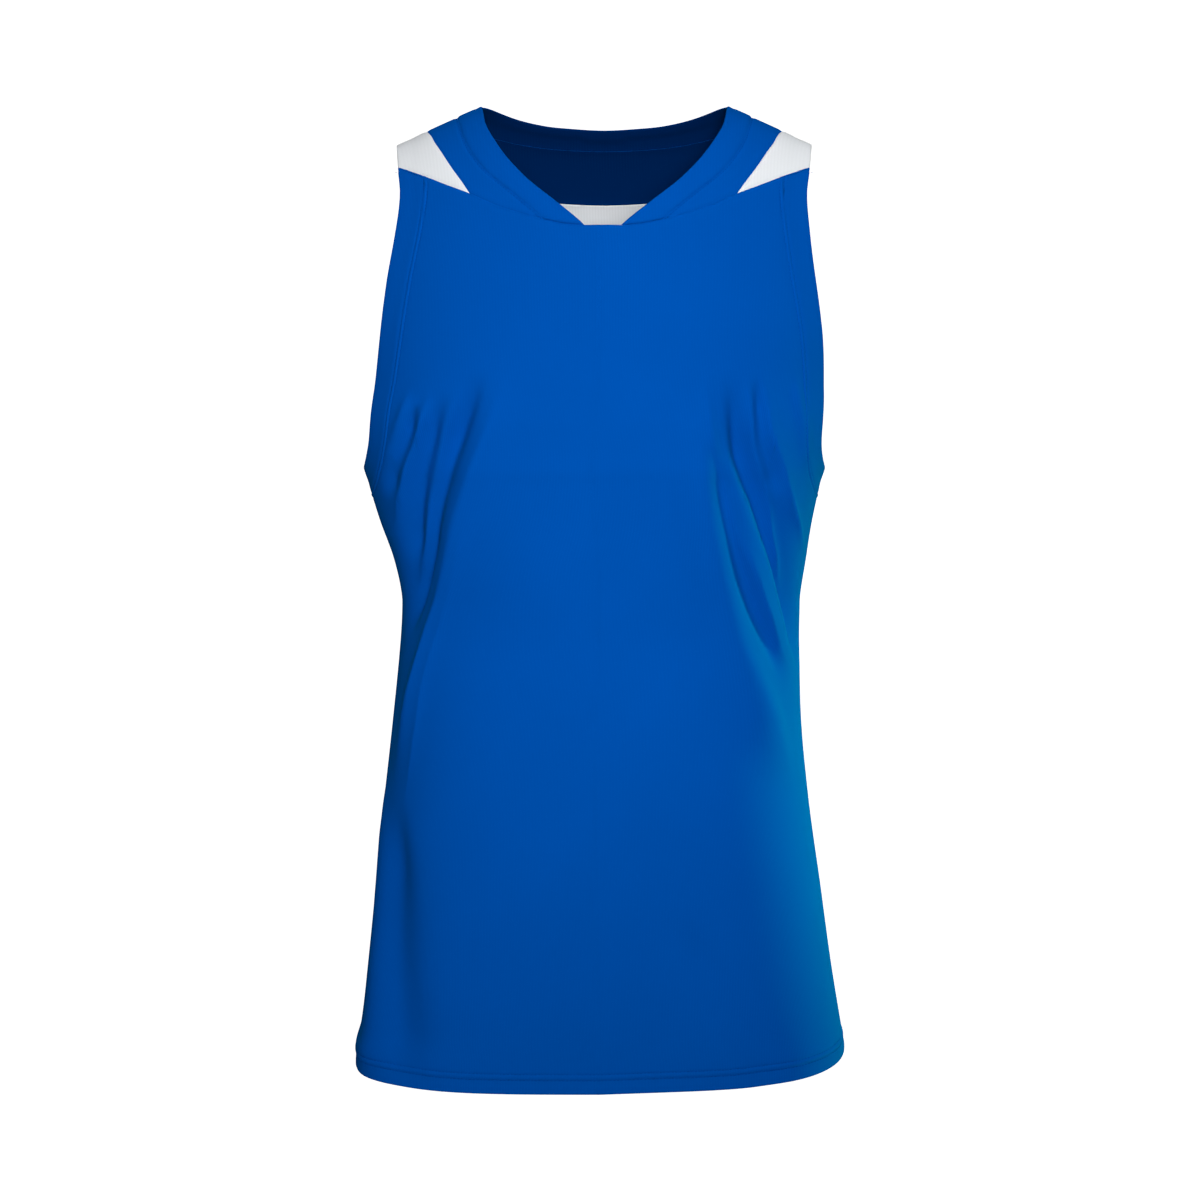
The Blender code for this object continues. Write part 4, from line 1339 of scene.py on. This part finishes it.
def lamp(name, place, target, size, power, spread, colour):
    data = bpy.data.lights.new(name, "AREA")
    data.shape, data.size, data.size_y = "RECTANGLE", size[0], size[1]
    data.energy, data.color, data.spread = power, colour, math.radians(spread)
    aimed(shown(name, data), Vector(place), Vector(target))


def make_lights():
    for row in LAMPS:
        lamp(*row)
    world = bpy.data.worlds.new("studio")
    world.use_nodes = True
    background = world.node_tree.nodes["Background"]
    fill(background, {"Color": (1.0, 1.0, 1.0, 1.0), "Strength": WORLD_LIGHT})
    bpy.context.scene.world = world


def make_camera():
    place, target = Vector(CAMERA_PLACE), Vector(CAMERA_TARGET)
    data = bpy.data.cameras.new("camera")
    data.sensor_fit = "HORIZONTAL"
    data.sensor_width = SENSOR
    distance = (target - place).length
    data.lens = SENSOR * distance / (FRAME_PIXELS * PIXEL_SIZE)
    data.clip_end = FAR_AWAY
    obj = shown("camera", data)
    aimed(obj, place, target)
    bpy.context.scene.camera = obj
    bpy.context.scene.view_settings.view_transform = "Standard"


# ---------------------------------------------------------------- operators


class JERSEY_OT_front(bpy.types.Operator):
    """Cut the front panel from under the yoke to the hem, with its creases and turned hems"""

    bl_idname = "jersey.front"
    bl_label = "Front"

    def execute(self, context):
        replace(make_body(back=False), "front")
        return {"FINISHED"}


class JERSEY_OT_back(bpy.types.Operator):
    """Cut the back panel from under the white stripe to the hem"""

    bl_idname = "jersey.back"
    bl_label = "Back"

    def execute(self, context):
        replace(make_body(back=True), "back")
        return {"FINISHED"}


class JERSEY_OT_inserts(bpy.types.Operator):
    """Cut the white gore of each shoulder, which ends in a point on the chest"""

    bl_idname = "jersey.inserts"
    bl_label = "Shoulder inserts"

    def execute(self, context):
        replace(make_insert(1), "insert_left")
        replace(make_insert(-1), "insert_right")
        return {"FINISHED"}


class JERSEY_OT_front_yokes(bpy.types.Operator):
    """Cut the blue strap of each shoulder, between the neckband and the white insert"""

    bl_idname = "jersey.front_yokes"
    bl_label = "Front yokes"

    def execute(self, context):
        replace(make_yoke_front(1), "yoke_front_left")
        replace(make_yoke_front(-1), "yoke_front_right")
        return {"FINISHED"}


class JERSEY_OT_back_yoke(bpy.types.Operator):
    """Cut the blue upper back, between the neckband and the white stripe"""

    bl_idname = "jersey.back_yoke"
    bl_label = "Back yoke"

    def execute(self, context):
        replace(make_yoke_back(), "yoke_back")
        return {"FINISHED"}


class JERSEY_OT_stripe(bpy.types.Operator):
    """Cut the white stripe that runs across the upper back from armhole to armhole"""

    bl_idname = "jersey.stripe"
    bl_label = "Back stripe"

    def execute(self, context):
        replace(make_stripe(), "stripe_back")
        return {"FINISHED"}


class JERSEY_OT_neckband(bpy.types.Operator):
    """Fold the band round the neck, open at the front where its ends meet the chest"""

    bl_idname = "jersey.neckband"
    bl_label = "Neckband"

    def execute(self, context):
        replace(make_neckband(), "neckband")
        return {"FINISHED"}


class JERSEY_OT_stitches(bpy.types.Operator):
    """Sew the rows of stitches along the hem, the armholes, the top seams and the neckband"""

    bl_idname = "jersey.stitches"
    bl_label = "Stitches"

    def execute(self, context):
        stitch_hem()
        stitch_armholes()
        stitch_top_seams()
        stitch_neckband()
        return {"FINISHED"}


class JERSEY_OT_stage(bpy.types.Operator):
    """Set the pale floor and backdrop, the lamps and the camera"""

    bl_idname = "jersey.stage"
    bl_label = "Stage"

    def execute(self, context):
        make_studio()
        make_lights()
        make_camera()
        return {"FINISHED"}


OPERATORS = (
    JERSEY_OT_front, JERSEY_OT_back, JERSEY_OT_inserts, JERSEY_OT_front_yokes, JERSEY_OT_back_yoke,
    JERSEY_OT_stripe, JERSEY_OT_neckband, JERSEY_OT_stitches, JERSEY_OT_stage,
)


class JERSEY_PT_panel(bpy.types.Panel):
    """The jersey's settings and its pieces in the order they are made"""

    bl_label = "Jersey"
    bl_idname = "JERSEY_PT_panel"
    bl_space_type = "VIEW_3D"
    bl_region_type = "UI"
    bl_category = "Jersey"

    def draw(self, context):
        for settings in (context.scene.jersey_sizes, context.scene.jersey_colours):
            box = self.layout.box()
            for name in type(settings).__annotations__:
                box.prop(settings, name)
        column = self.layout.column(align=True)
        for operator in OPERATORS:
            column.operator(operator.bl_idname)


CLASSES = (JerseySizes, JerseyColours, *OPERATORS, JERSEY_PT_panel)


def register():
    for cls in CLASSES:
        bpy.utils.register_class(cls)
    bpy.types.Scene.jersey_sizes = PointerProperty(type=JerseySizes)
    bpy.types.Scene.jersey_colours = PointerProperty(type=JerseyColours)


def unregister():
    del bpy.types.Scene.jersey_colours
    del bpy.types.Scene.jersey_sizes
    for cls in reversed(CLASSES):
        bpy.utils.unregister_class(cls)


# ---------------------------------------------------------------- run


def main():
    register()
    bpy.ops.jersey.front()
    bpy.ops.jersey.back()
    bpy.ops.jersey.inserts()
    bpy.ops.jersey.front_yokes()
    bpy.ops.jersey.back_yoke()
    bpy.ops.jersey.stripe()
    bpy.ops.jersey.neckband()
    bpy.ops.jersey.stitches()
    bpy.ops.jersey.stage()


if __name__ == "__main__":
    main()
